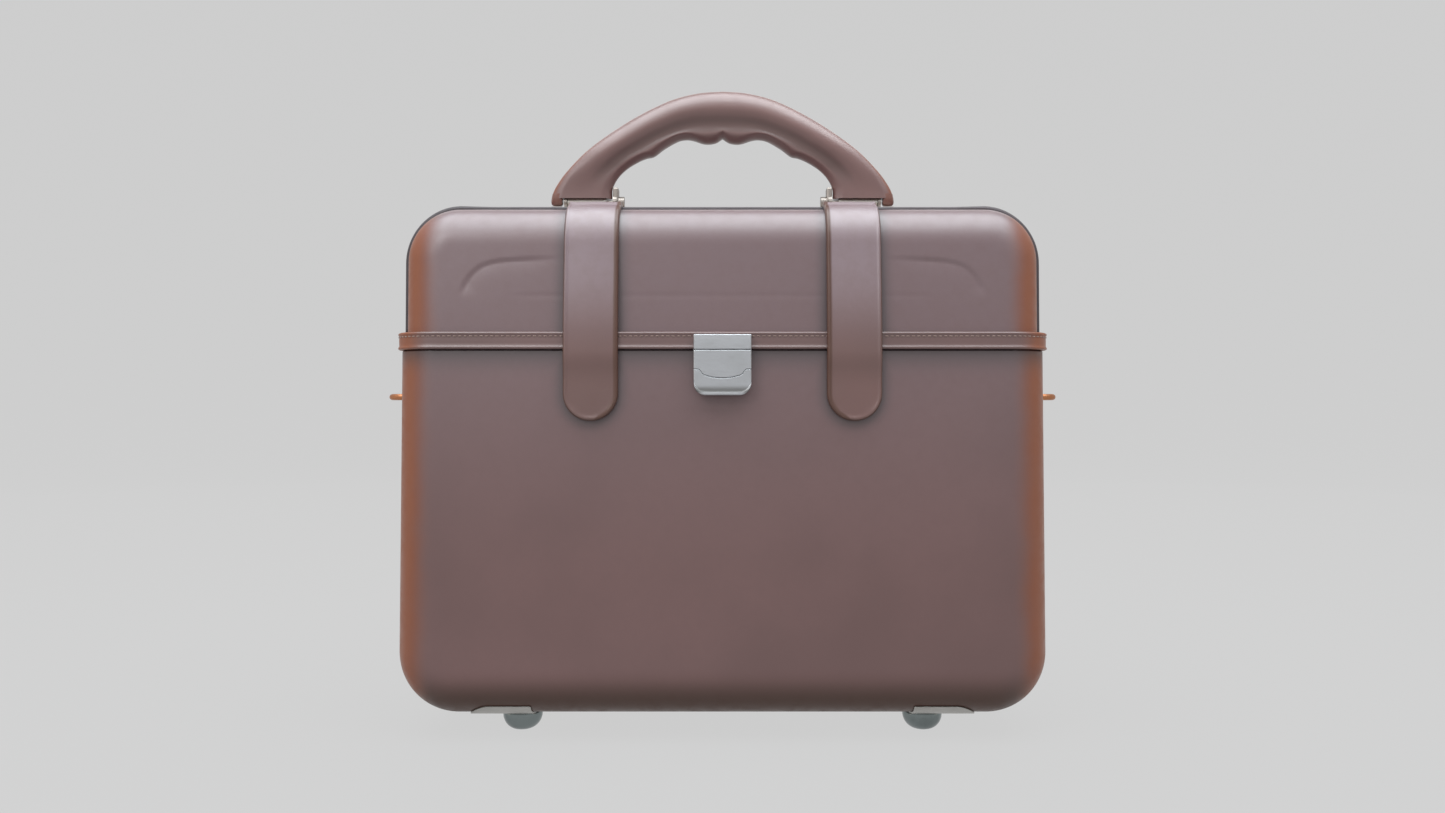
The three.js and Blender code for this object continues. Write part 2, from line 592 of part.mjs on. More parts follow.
function handle() {
  const { footZ, pivotZ, barrelFrom, barrelTo } = HANDLE;
  const depthAt = (rise) => THREE.MathUtils.lerp(HANDLE.footHalfDepth, HANDLE.gripHalfDepth, rise);
  const leather = loft(handleRings((half) => half, depthAt, 14, 0.75));

  // The steel core is a flat strip on edge, wide at the feet, where it curls around the pins.
  const root2 = Math.SQRT2;
  const coreHalf = (rise) => THREE.MathUtils.lerp(HANDLE.coreAtFoot, HANDLE.coreAtCrown, rise);
  const coreHeight = (grow) => (half, rise) => (coreHalf(rise) + grow) * root2;
  const coreDepth = (grow) => () => (HANDLE.coreHalfDepth + grow) * root2;
  const strip = (grow) => loft(handleRings(coreHeight(grow), coreDepth(grow), 4, 1));
  const barrels = (radius, grow) =>
    [-1, 1].map((side) => {
      const [from, to] = [barrelFrom - grow, barrelTo + grow];
      return side > 0 ? barX(radius, from, to, 0, pivotZ) : barX(radius, -to, -from, 0, pivotZ);
    });
  const necks = (grow) =>
    [-1, 1].map((side) => {
      const depth = HANDLE.coreHalfDepth + grow;
      const centre = side * (barrelFrom + barrelTo) / 2;
      const reach = HANDLE.neckHalf + grow;
      return box(centre - reach, centre + reach, -depth, depth, pivotZ, footZ + 4);
    });
  const notchFrom = OUTER_EAR.from - OUTER_EAR.room;
  const notch = barX(OUTER_EAR.radius + 0.9, notchFrom, OUTER_EAR.to + OUTER_EAR.room, 0, pivotZ);
  const earNotches = [notch, notch.mirror([1, 0, 0])];
  const room = HANDLE.coreRoom;
  const coreCavity = [strip(room), ...barrels(HANDLE.barrel + room, room), ...necks(room)];
  const grip = cut(leather, ...coreCavity, ...earNotches);
  piece('handle_grip', grip, GRIP_LEATHER);

  const bore = barX(HANDLE.bore, -BIG, BIG, 0, pivotZ, 10);
  const core = join(strip(0), ...barrels(HANDLE.barrel, 0), ...necks(0)).subtract(bore);
  piece('handle_core', core, STEEL);
}

// Seen from the side, an ear is a tongue with a round top about the pin.
function ear({ from, to, radius }) {
  const { pivotZ } = HANDLE;
  return join(
    barX(radius, from, to, 0, pivotZ, 20),
    box(from, to, -radius * 0.75, radius * 0.75, BRACKET.topZ - 1, pivotZ),
  );
}

const bracketRivetPlaces = sides.flatMap(({ side, tag }) =>
  [-1, 1].map((front) => ({
    x: side * BRACKET_RIVET.x,
    y: front * BRACKET_RIVET.y,
    name: `bracket_rivet_${tag}_${front < 0 ? 'front' : 'rear'}`,
  })),
);

function bracketRivetHoles() {
  const [low, high] = [CASE.topZ - 2 * CASE.wall, BRACKET.topZ + CASE.wall];
  return bracketRivetPlaces.map(({ x, y }) => barZ(RIVET.hole, low, high, x, y, 10));
}

function handleBrackets() {
  const { from, to, halfDepth, bottomZ, topZ } = BRACKET;
  const lap = BRACKET_LAP;
  const strapEdge = STRAP.x + STRAP.width / 2 + GAP;
  const right = join(
    box(from, to, -halfDepth, halfDepth, bottomZ, topZ),
    box(strapEdge, to, -halfDepth, halfDepth, CASE.topZ + GAP, topZ),
    box(lap.from, lap.to, -lap.halfDepth, lap.halfDepth, topZ - 1, topZ + lap.rise),
    ear(INNER_EAR),
    ear(OUTER_EAR),
  );
  const bore = barX(HANDLE.bore, -BIG, BIG, 0, HANDLE.pivotZ, 10);
  for (const { side, tag } of sides) {
    const bracket = side > 0 ? right : right.mirror([1, 0, 0]);
    piece(`handle_bracket_${tag}`, cut(bracket, bore, ...bracketRivetHoles()), STEEL);
    const shaft = barX(HANDLE.pin, HANDLE.pinFrom, HANDLE.pinTo, 0, HANDLE.pivotZ, 12);
    const head = barX(HANDLE.pinHead, HANDLE.pinHeadFrom, HANDLE.pinHeadTo, 0, HANDLE.pivotZ, 20);
    const pin = join(shaft, head);
    piece(`handle_pin_${tag}`, side > 0 ? pin : pin.mirror([1, 0, 0]), STEEL);
  }
  for (const { x, y, name } of bracketRivetPlaces) {
    const head = barZ(BRACKET_RIVET.head, topZ + GAP, topZ + GAP + RIVET.headThickness, x, y, 16);
    const shank = barZ(RIVET.shank, CASE.topZ - CASE.wall + 0.5, topZ + 1, x, y, 10);
    piece(name, join(head, shank), STEEL);
  }
}

// ---- Feet ---------------------------------------------------------------------------------------

function foot(front, side, name) {
  const { radius, height, collar, flat, stem } = FOOT;
  const dome = Array.from({ length: 7 }, (_, i) => {
    const angle = (i / 6) * (Math.PI / 2);
    const out = flat + (radius - flat) * Math.sin(angle);
    return new THREE.Vector2(out, (height - collar) * (1 - Math.cos(angle)));
  });
  const stemTop = CASE.baseZ + CASE.wall - 0.5;
  const profile = [
    new THREE.Vector2(0, 0),
    ...dome,
    new THREE.Vector2(radius, height),
    new THREE.Vector2(stem, height),
    new THREE.Vector2(stem, stemTop),
    new THREE.Vector2(0, stemTop),
  ];
  const geometry = new THREE.LatheGeometry(profile, 20).rotateX(Math.PI / 2);
  piece(name, solid(geometry.translate(side * FOOT.x, front * FOOT.y, 0)), DARK_CHROME);
}

function footPlate(front, side, name) {
  const { from, to, nearY, farY, thickness, corner: radius } = FOOT_PLATE;
  const shape = new THREE.Shape();
  shape.moveTo(from, nearY);
  shape.lineTo(to - radius, nearY);
  shape.absarc(to - radius, nearY + radius, radius, -Math.PI / 2, 0, false);
  shape.lineTo(to, farY - radius);
  shape.absarc(to - radius, farY - radius, radius, 0, Math.PI / 2, false);
  shape.lineTo(from, farY);
  const column = new THREE.ExtrudeGeometry(shape, { depth: 30, bevelEnabled: false, curveSegments: 5 });
  let area = solid(column);
  if (side < 0) area = area.mirror([1, 0, 0]);
  if (front < 0) area = area.mirror([0, 1, 0]);
  const stemHole = barZ(FOOT.stem + GAP, 0, 30, side * FOOT.x, front * FOOT.y);
  const skin = caseSkin(GAP, GAP + thickness).intersect(area);
  piece(name, cut(skin, welt(front, WELT.onBody, GAP), stemHole), LOCK_STEEL);
}

function feet() {
  for (const { front, side } of footPlaces) {
    const tag = `${front < 0 ? 'front' : 'rear'}_${side < 0 ? 'left' : 'right'}`;
    foot(front, side, `foot_${tag}`);
    footPlate(front, side, `foot_plate_${tag}`);
  }
}

// ---- Side rings ---------------------------------------------------------------------------------

// A flat closed loop of round wire: a straight bar on the case's side and a bow away from it.
function ringWire() {
  const { barX: inner, reach, halfLength, wire, bend } = RING;
  const path = new THREE.Path();
  path.moveTo(inner, -halfLength + bend);
  path.lineTo(inner, halfLength - bend);
  path.quadraticCurveTo(inner, halfLength, inner + bend, halfLength);
  path.bezierCurveTo(inner + reach, halfLength, inner + reach, halfLength / 2, inner + reach, 0);
  path.bezierCurveTo(inner + reach, -halfLength / 2, inner + reach, -halfLength, inner + bend, -halfLength);
  path.quadraticCurveTo(inner, -halfLength, inner, -halfLength + bend);
  const points = path.getSpacedPoints(26).slice(0, -1);
  const rings = points.map((point, i) => {
    const ahead = points[(i + 1) % points.length];
    const behind = points[(i + points.length - 1) % points.length];
    const normal = ahead.clone().sub(behind).normalize().rotateAround(new THREE.Vector2(), Math.PI / 2);
    return Array.from({ length: 8 }, (_, k) => {
      const turn = (k / 8) * 2 * Math.PI;
      const out = wire * Math.cos(turn);
      const spot = point.clone().addScaledVector(normal, out);
      return new THREE.Vector3(spot.x, spot.y, RING.z + wire * Math.sin(turn));
    });
  });
  return loft(rings, true);
}

function sideRings() {
  const wall = CASE.width / 2;
  const { thickness, halfDepth, halfHeight, loopHalf } = RING_BRACKET;
  const loopBore = barY(RING_BRACKET.bore, -BIG, BIG, RING.barX, RING.z);
  const plateX = wall + GAP;
  const [plateLow, plateHigh] = [RING.z - halfHeight, RING.z + halfHeight];
  const plate = box(plateX, plateX + thickness, -halfDepth, halfDepth, plateLow, plateHigh);
  const loop = barY(RING_BRACKET.loop, -loopHalf, loopHalf, RING.barX, RING.z, 16);
  const holes = rivetHeights.map((z) => barX(RIVET.hole, wall - CASE.wall, wall + CASE.wall, 0, z, 10));
  const bracket = cut(join(plate, loop), loopBore, ...holes);
  const headX = plateX + thickness + GAP;
  for (const { side, tag } of sides) {
    const place = (body) => (side > 0 ? body : body.mirror([1, 0, 0]));
    piece(`ring_bracket_${tag}`, place(bracket), COPPER);
    piece(`side_ring_${tag}`, place(ringWire()), COPPER);
    rivetHeights.forEach((z, i) => {
      const head = barX(RING_RIVET.head, headX, headX + RIVET.headThickness, 0, z, 14);
      const rivet = join(head, barX(RIVET.shank, wall - CASE.wall + 0.5, headX + 0.5, 0, z, 10));
      piece(`ring_rivet_${tag}_${i ? 'upper' : 'lower'}`, place(rivet), COPPER);
    });
  }
}

// ---- Assembly -----------------------------------------------------------------------------------

lowerShell();
lidShell();
linings();
lidBand();
welts();
hinge();
for (const place of sides) {
  strapUpper(place);
  strapEnd(place);
}
strapRivets();
strapKeepers();
lock();
handle();
handleBrackets();
feet();
sideRings();

export default MODEL;
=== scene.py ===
# Leather briefcase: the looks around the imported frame.
# Metres, +Z up, the front of the case faces -Y, as in the frame.
import itertools
import math

import bmesh
import bpy
import numpy as np
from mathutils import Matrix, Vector


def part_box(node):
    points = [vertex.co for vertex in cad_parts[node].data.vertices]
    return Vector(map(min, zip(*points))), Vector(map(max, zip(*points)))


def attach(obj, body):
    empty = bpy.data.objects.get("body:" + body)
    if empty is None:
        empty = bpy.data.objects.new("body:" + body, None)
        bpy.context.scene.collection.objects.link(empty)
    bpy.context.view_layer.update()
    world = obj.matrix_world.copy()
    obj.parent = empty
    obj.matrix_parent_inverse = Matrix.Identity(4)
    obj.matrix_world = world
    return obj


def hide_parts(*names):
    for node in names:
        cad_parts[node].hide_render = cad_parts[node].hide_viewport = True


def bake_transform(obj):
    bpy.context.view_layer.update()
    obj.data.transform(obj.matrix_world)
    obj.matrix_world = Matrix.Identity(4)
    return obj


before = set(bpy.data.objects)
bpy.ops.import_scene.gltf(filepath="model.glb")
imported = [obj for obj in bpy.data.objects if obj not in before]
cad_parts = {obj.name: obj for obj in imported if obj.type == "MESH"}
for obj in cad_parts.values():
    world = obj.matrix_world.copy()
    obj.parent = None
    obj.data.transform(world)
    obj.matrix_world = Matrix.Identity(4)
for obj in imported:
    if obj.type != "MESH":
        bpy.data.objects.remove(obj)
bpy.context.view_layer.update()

MM = 0.001

# ---- Sizes from the frame ----

shell_low, shell_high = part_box("lower_shell")
lid_low, lid_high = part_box("lid_shell")
band_low, band_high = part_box("lid_band")
flap_low, flap_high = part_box("hasp_flap")
tab_low, tab_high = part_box("thumb_tab")

HALF_WIDTH = shell_high.x
LID_HALF_WIDTH = lid_high.x - 1 * MM  # drawn in a little more than the frame's
BASE_Z = shell_low.z
SEAM_Z = (shell_high.z + lid_low.z) / 2
TOP_Z = lid_high.z
BAND_LOW = band_low.z
BAND_HIGH = band_high.z
HINGE_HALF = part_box("hinge_leaf_lid")[1].x
HANDLE_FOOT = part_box("handle_grip")[0].z + 0.5 * MM

STRAP_HALF = 17.5 * MM
STRAP_X = (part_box("strap_right")[0].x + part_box("strap_right")[1].x) / 2
TIP_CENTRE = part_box("strap_end_left")[0].z + STRAP_HALF

LOCK_HALF = flap_high.x
LOCK_FRONT = flap_low.y
LOCK_BACK = flap_high.y
LOCK_BOTTOM = tab_low.z
LOCK_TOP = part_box("lock_upper_plate")[1].z
LOCK_PIN_Z = (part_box("hasp_pin")[0].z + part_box("hasp_pin")[1].z) / 2
BARREL = 1.6 * MM  # radius of the hasp's top edge, round its pin

# The case's form: its half depth at the base, the lean of its faces, its roundings and its wall.
HALF_DEPTH = 68 * MM
LEAN = math.radians(2.5)
TOP_R = 35 * MM
BOTTOM_R = 40 * MM
EDGE_R = 25 * MM
WALL = 4 * MM

# The gap between neighbouring pieces, and a Y that only the front face lies beyond.
GAP = 0.3 * MM
ON_FRONT = -30 * MM

# The piping: its centre and its half width across the case's depth.
WELT_Y = 38.5 * MM
WELT_HALF = 2.5 * MM


# ---- Small tools ----

def smoothstep(low, high, value):
    t = np.clip((np.asarray(value, float) - low) / (high - low), 0, 1)
    return t * t * (3 - 2 * t)


def spaced(*stops):
    """Grid lines from stop to stop. Each stop is (value, step up to the next stop)."""
    lines = [stops[0][0]]
    for (start, step), (end, _) in zip(stops, stops[1:]):
        count = max(1, round(abs(end - start) / step))
        lines += [start + (end - start) * (i + 1) / count for i in range(count)]
    return np.array(lines)


def mirrored(lines):
    """Grid lines for both halves, from the lines of the positive half, which starts at 0."""
    return np.concatenate([-lines[::-1], lines[1:]])


def make_object(name, points, faces, smooth=True):
    mesh = bpy.data.meshes.new(name)
    mesh.from_pydata([tuple(p) for p in points], [], [tuple(f) for f in faces])
    bm = bmesh.new()
    bm.from_mesh(mesh)
    bmesh.ops.recalc_face_normals(bm, faces=bm.faces)
    bm.to_mesh(mesh)
    bm.free()
    obj = bpy.data.objects.new(name, mesh)
    bpy.context.scene.collection.objects.link(obj)
    for polygon in mesh.polygons:
        polygon.use_smooth = smooth
    return obj


def mark(obj, name, values):
    """Gives a mesh one value at each point, for its material to read."""
    attribute = obj.data.attributes.new(name, "FLOAT", "POINT")
    attribute.data.foreach_set("value", np.asarray(values, np.float32))


def finish_piece(obj, body, material, replaced=()):
    """Gives a piece its material and its body, and hides the CAD nodes that it stands for."""
    obj.data.materials.clear()
    obj.data.materials.append(material)
    if body:
        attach(obj, body)
    if replaced:
        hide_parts(*replaced)


def sharpen(obj, angle=35):
    """Smooth faces with a crisp line wherever two faces meet at more than this angle."""
    obj.data.set_sharp_from_angle(angle=math.radians(angle))


def bevel(obj, width, angle=30):
    modifier = obj.modifiers.new("edges", "BEVEL")
    modifier.width = width
    modifier.segments = 2
    modifier.limit_method = "ANGLE"
    modifier.angle_limit = math.radians(angle)


def ring_skin(rings, closed=False, caps=True):
    """Faces between rows of points that all have the same number of points."""
    count = len(rings[0])
    points = [p for ring in rings for p in ring]
    faces = []
    spans = len(rings) if closed else len(rings) - 1
    for r in range(spans):
        near, far = r * count, ((r + 1) % len(rings)) * count
        for i in range(count):
            j = (i + 1) % count
            faces.append((near + i, near + j, far + j, far + i))
    if caps and not closed:
        faces.append(tuple(range(count)))
        faces.append(tuple(range((len(rings) - 1) * count, len(rings) * count)))
    return points, faces


def joined(parts):
    """One mesh's points and faces from several (points, faces) parts."""
    points, faces = [], []
    for part_points, part_faces in parts:
        faces += [tuple(v + len(points) for v in face) for face in part_faces]
        points += part_points
    return points, faces


def circle(centre, radius, z, sides):
    """Points of a level circle."""
    turns = [k * math.tau / sides for k in range(sides)]
    return [(centre[0] + radius * math.cos(t), centre[1] + radius * math.sin(t), z) for t in turns]


def curve_through(points, steps):
    """A smooth line through 2-D points, with steps samples on each stretch."""
    p = [np.array(q, float) for q in points]
    p = [2 * p[0] - p[1]] + p + [2 * p[-1] - p[-2]]
    line = []
    for a, b, c, d in zip(p, p[1:], p[2:], p[3:]):
        for k in range(steps):
            t = k / steps
            line.append(0.5 * (2 * b + (c - a) * t + (2 * a - 5 * b + 4 * c - d) * t**2
                               + (3 * b - a - 3 * c + d) * t**3))
    line.append(p[-2])
    return np.array(line)


# ---- The case's form ----

def half_depth(z):
    return HALF_DEPTH - (np.asarray(z, float) - BASE_Z) * math.tan(LEAN)


def nearest_core(x, z):
    """The nearest point, seen from the front, of the flat core that the case's rounding wraps."""
    top = z > TOP_Z - TOP_R
    bottom = z < BASE_Z + BOTTOM_R
    corner_x = np.where(top, HALF_WIDTH - TOP_R, HALF_WIDTH - BOTTOM_R)
    corner_z = np.where(top, TOP_Z - TOP_R, BASE_Z + BOTTOM_R)
    radius = np.where(top, TOP_R - EDGE_R, BOTTOM_R - EDGE_R)
    dx, dz = np.maximum(x - corner_x, 0), z - corner_z
    length = np.maximum(np.hypot(dx, dz), 1e-12)
    shrink = np.minimum(1, radius / length)
    in_corner = top | bottom
    core_x = np.where(in_corner, np.minimum(x, corner_x) + dx * shrink, np.minimum(x, HALF_WIDTH - EDGE_R))
    core_z = np.where(in_corner, corner_z + dz * shrink, z)
    return core_x, core_z


def case_points(q, grow=0.0):
    """Points on the case's bounding block, pulled onto its rounded, leaning skin and out by grow."""
    q = np.asarray(q, float).reshape(-1, 3)
    grow = np.asarray(grow, float)
    x, y, z = np.abs(q[:, 0]), np.abs(q[:, 1]), q[:, 2]
    core_x, core_z = nearest_core(x, z)
    core_y = np.minimum(y, HALF_DEPTH - EDGE_R)
    core = np.stack([core_x, core_y, core_z], 1)
    out = np.stack([x, y, z], 1) - core
    out /= np.linalg.norm(out, axis=1, keepdims=True)
    p = core + out * np.reshape(EDGE_R + grow, (-1, 1))
    p[:, 1] *= (half_depth(p[:, 2]) + grow) / (HALF_DEPTH + grow)
    p[:, 0] *= np.sign(q[:, 0])
    p[:, 1] *= np.sign(q[:, 1])
    return p


def drawn_in(points):
    """The lid's outside stands in a little from the body's at the sides."""
    return np.asarray(points) * np.array([LID_HALF_WIDTH / HALF_WIDTH, 1, 1])


class Block:
    """Grid lines on the outside of the case's bounding block, open at one end of Z."""

    def __init__(self, xs, ys, zs, open_top):
        self.xs, self.ys, self.zs = xs, ys, zs
        self.index = {}
        self.points = []
        self.faces = []
        nx, ny, nz = len(xs) - 1, len(ys) - 1, len(zs) - 1
        self.shut, self.open = (0, nz) if open_top else (nz, 0)
        for i in range(nx):
            for k in range(nz):
                for j in (0, ny):
                    self.quad((i, j, k), (i + 1, j, k), (i + 1, j, k + 1), (i, j, k + 1))
        for j in range(ny):
            for k in range(nz):
                for i in (0, nx):
                    self.quad((i, j, k), (i, j + 1, k), (i, j + 1, k + 1), (i, j, k + 1))
        k = self.shut
        for i in range(nx):
            for j in range(ny):
                self.quad((i, j, k), (i + 1, j, k), (i + 1, j + 1, k), (i, j + 1, k))
        edge = [(i, 0) for i in range(nx)] + [(nx, j) for j in range(ny)]
        edge += [(i, ny) for i in range(nx, 0, -1)] + [(0, j) for j in range(ny, 0, -1)]
        self.rim = [self.vertex((i, j, self.open)) for i, j in edge]

    def vertex(self, key):
        if key not in self.index:
            self.index[key] = len(self.points)
            i, j, k = key
            self.points.append((self.xs[i], self.ys[j], self.zs[k]))
        return self.index[key]

    def quad(self, *keys):
        self.faces.append([self.vertex(key) for key in keys])

    def walled(self, outer, inner, dent=None, lip=0.5 * MM):
        """Points and faces of a wall between two distances from the case's form, with a soft rim."""
        outside = case_points(self.points, outer)
        if dent is not None:
            outside = dent(outside)
        inside = case_points(self.points, inner)
        count = len(self.points)
        rim = np.array(self.rim)
        to_rim = np.sign(outside[rim[0], 2] - outside[:, 2].mean()) * lip
        for skin in (outside, inside):
            skin[rim, 2] -= to_rim
        step = (inside[rim] - outside[rim]) * 0.15
        crests = [outside[rim] + step, inside[rim] - step]
        for crest in crests:
            crest[:, 2] += to_rim
        points = np.concatenate([outside, inside, *crests])
        faces = [list(f) for f in self.faces] + [[v + count for v in f] for f in self.faces]
        outer_crest = 2 * count + np.arange(len(rim))
        rows = [rim, outer_crest, outer_crest + len(rim), rim + count]
        for a, b in zip(rows, rows[1:]):
            for i in range(len(rim)):
                j = (i + 1) % len(rim)
                faces.append([a[i], a[j], b[j], b[i]])
        return points, faces


# ---- Materials ----

class Look:
    """A Principled material with short calls for its nodes."""

    def __init__(self, name, roughness, metallic=0.0, **inputs):
        self.material = bpy.data.materials.new(name)
        self.material.use_nodes = True
        self.nodes = self.material.node_tree.nodes
        self.links = self.material.node_tree.links
        self.shader = self.nodes["Principled BSDF"]
        self.set(Roughness=roughness, Metallic=metallic, **inputs)
        self.place = self.node("ShaderNodeTexCoord").outputs["Object"]

    def set(self, **inputs):
        """Sets or links inputs of the shader, named with _ for a space."""
        for key, value in inputs.items():
            self.put(value, self.shader.inputs[key.replace("_", " ")])

    def node(self, kind, **settings):
        node = self.nodes.new(kind)
        for key, value in settings.items():
            setattr(node, key, value)
        return node

    def put(self, value, socket):
        if isinstance(value, bpy.types.NodeSocket):
            self.links.new(value, socket)
        else:
            socket.default_value = value

    def noise(self, scale, detail=3.0, roughness=0.5, stretch=None):
        node = self.node("ShaderNodeTexNoise")
        node.inputs["Scale"].default_value = scale
        node.inputs["Detail"].default_value = detail
        node.inputs["Roughness"].default_value = roughness
        self.put(self.stretched(stretch), node.inputs["Vector"])
        return node.outputs["Fac"]

    def stretched(self, stretch):
        if stretch is None:
            return self.place
        mapping = self.node("ShaderNodeMapping")
        mapping.inputs["Scale"].default_value = stretch
        self.put(self.place, mapping.inputs["Vector"])
        return mapping.outputs["Vector"]

    def cells(self, scale, feature="F1"):
        node = self.node("ShaderNodeTexVoronoi", feature=feature)
        node.inputs["Scale"].default_value = scale
        self.put(self.place, node.inputs["Vector"])
        return node.outputs["Distance"]

    def remap(self, value, low, high, out_low=0.0, out_high=1.0):
        node = self.node("ShaderNodeMapRange", interpolation_type="SMOOTHSTEP")
        ends = {"From Min": low, "From Max": high, "To Min": out_low, "To Max": out_high}
        for key, number in ends.items():
            node.inputs[key].default_value = number
        self.put(value, node.inputs["Value"])
        return node.outputs["Result"]

    def mix(self, amount, a, b):
        node = self.node("ShaderNodeMix", data_type="RGBA")
        self.put(amount, node.inputs["Factor"])
        self.put(a, node.inputs["A"])
        self.put(b, node.inputs["B"])
        return node.outputs["Result"]

    def math(self, operation, *values):
        node = self.node("ShaderNodeMath", operation=operation)
        for value, socket in zip(values, node.inputs):
            self.put(value, socket)
        return node.outputs["Value"]

    def axes(self):
        """The place's X, Y and Z."""
        split = self.node("ShaderNodeSeparateXYZ")
        self.put(self.place, split.inputs["Vector"])
        return split.outputs

    def attribute(self, name):
        return self.node("ShaderNodeAttribute", attribute_name=name).outputs["Fac"]

    def bump(self, height, strength, distance, below=None):
        node = self.node("ShaderNodeBump")
        node.inputs["Strength"].default_value = strength
        node.inputs["Distance"].default_value = distance
        self.put(height, node.inputs["Height"])
        if below is not None:
            self.put(below, node.inputs["Normal"])
        return node.outputs["Normal"]


def rgb(red, green, blue):
    return (red, green, blue, 1.0)


def painted_shadow_by_straps(look):
    """Painted shadow on the case's front beside the straps and under the band, standing in for the shade
    they cast.
    """
    at = look.axes()
    off_strap = look.math("SUBTRACT", look.math("ABSOLUTE", at["X"]), STRAP_X)
    past_tip = look.math("MINIMUM", look.math("SUBTRACT", at["Z"], TIP_CENTRE), 0)
    squares = look.math("ADD", look.math("POWER", look.math("ABSOLUTE", off_strap), 2),
                        look.math("POWER", look.math("ABSOLUTE", past_tip), 2))
    away = look.math("SQRT", squares)
    by_strap = look.math("POWER", look.remap(away, STRAP_HALF + 12 * MM, STRAP_HALF), 2)
    by_strap = look.math("MULTIPLY", by_strap, 0.5)
    covered = look.remap(away, STRAP_HALF - 8 * MM, STRAP_HALF - 1 * MM, 0.3, 1.0)
    by_strap = look.math("MULTIPLY", by_strap, covered)
    under_band = look.math("POWER", look.remap(at["Z"], BAND_LOW - 24 * MM, BAND_LOW), 2)
    under_band = look.math("MULTIPLY", under_band, look.math("LESS_THAN", at["Z"], BAND_LOW + 1 * MM))
    painted_shadow = look.math("MAXIMUM", by_strap, look.math("MULTIPLY", under_band, 0.62))
    return look.math("MULTIPLY", painted_shadow, look.math("LESS_THAN", at["Y"], ON_FRONT))


def painted_waist_shade(look):
    """Painted shade along the grip's waist, above the flange for the fingers, where the tube turns down
    away from the light.
    """
    return look.attribute("waist_shade")


def leather(name, base, deep, tan, roughness=0.42, grain=1100, coat=1.0, painted_top_light=None,
            rise=(90 * MM, 330 * MM), underside_shade=None, dark=None, where_painted_shade=None):
    """Polished leather: slow colour drift, tan where the mesh's marks say (worn edges, and in places
    painted light and shade), and fine grain.

    Where the colours are given, it turns paler over the heights in rise, a painted highlight for the light
    from above; it darkens round the case's base with painted shade; and it takes the dark colour as painted
    shade where its shade mask says."""
    look = Look(name, roughness, Coat_Weight=coat, Coat_Roughness=0.42, Coat_IOR=1.65,
                Specular_IOR_Level=0.4)
    height = look.axes()["Z"]
    drift = look.remap(look.noise(9, detail=4), 0.35, 0.68)
    mottle = look.remap(look.noise(120, detail=3, roughness=0.6), 0.3, 0.75)
    body = look.mix(drift, base, deep)
    # Painted highlight: paler towards the top, where the light from above falls.
    if painted_top_light:
        body = look.mix(look.remap(height, *rise), body, painted_top_light)
    body = look.mix(look.math("MULTIPLY", mottle, 0.2), body, deep)
    # Painted shade: darker round the case's base.
    if underside_shade:
        body = look.mix(look.remap(height, BASE_Z + 32 * MM, BASE_Z + 11 * MM), body, underside_shade)
    # The marks hold worn edges, and in places painted light and shade.
    ragged = look.math("MULTIPLY_ADD", look.noise(45, detail=4), 0.24, -0.12)
    tan_share = look.remap(look.math("ADD", look.attribute("wear_and_painted_light"), ragged), 0.05, 1.0)
    body = look.mix(tan_share, body, tan)
    # Painted shade in the dark colour, where the shade mask says.
    if dark:
        body = look.mix(where_painted_shade(look), body, dark)
    look.set(Base_Color=body)
    look.set(Roughness=look.remap(mottle, 0.0, 1.0, roughness - 0.05, roughness + 0.09))
    gloss = look.remap(tan_share, 0.0, 1.0, coat, coat * 0.4)
    # The coat thins round the base too, darkening it along with the painted shade.
    if underside_shade:
        above_underside_shade = look.remap(height, BASE_Z + 9 * MM, BASE_Z + 35 * MM, 0.1, 1.0)
        gloss = look.math("MULTIPLY", gloss, above_underside_shade)
    look.set(Coat_Weight=gloss)
    waves = look.bump(look.noise(14, detail=1), 0.35, 1.2 * MM)
    pebbles = look.bump(look.cells(grain, "SMOOTH_F1"), 0.55, 0.05 * MM, waves)
    creases = look.bump(look.noise(420, detail=5, roughness=0.65), 0.3, 0.08 * MM, pebbles)
    look.set(Normal=creases)
    return look.material


def thread(name, colour):
    look = Look(name, 0.7, Sheen_Weight=0.25)
    twist = look.cells(2600)
    shade = rgb(*(c * 0.6 for c in colour[:3]))
    look.set(Base_Color=look.mix(look.remap(twist, 0.1, 0.7), colour, shade))
    look.set(Normal=look.bump(twist, 0.5, 0.1 * MM))
    return look.material


def lock_painted_shade(look):
    """Painted shade on the lock: most on the lower part of its thumb tab, above the bright ledge at its
    foot, and a little along its pin, where it dims the barrel's highlight.
    """
    height = look.axes()["Z"]
    # Painted shade on the tab's lower face, which faces down; the ledge at its very foot stays bright.
    on_tab = look.math("MULTIPLY", look.remap(height, LOCK_BOTTOM + 6.8 * MM, LOCK_BOTTOM + 3.3 * MM),
                       look.remap(height, LOCK_BOTTOM + 1 * MM, LOCK_BOTTOM + 2.2 * MM))
    # Painted shade in the joint along the pin, which dims the barrel's highlight.
    pin_top = LOCK_PIN_Z + BARREL
    on_pin = look.math("MULTIPLY", look.remap(height, pin_top - 0.7 * BARREL, pin_top - 0.4 * BARREL),
                       look.math("LESS_THAN", height, pin_top + GAP / 2))
    return look.math("MAXIMUM", on_tab, look.math("MULTIPLY", on_pin, 0.35))


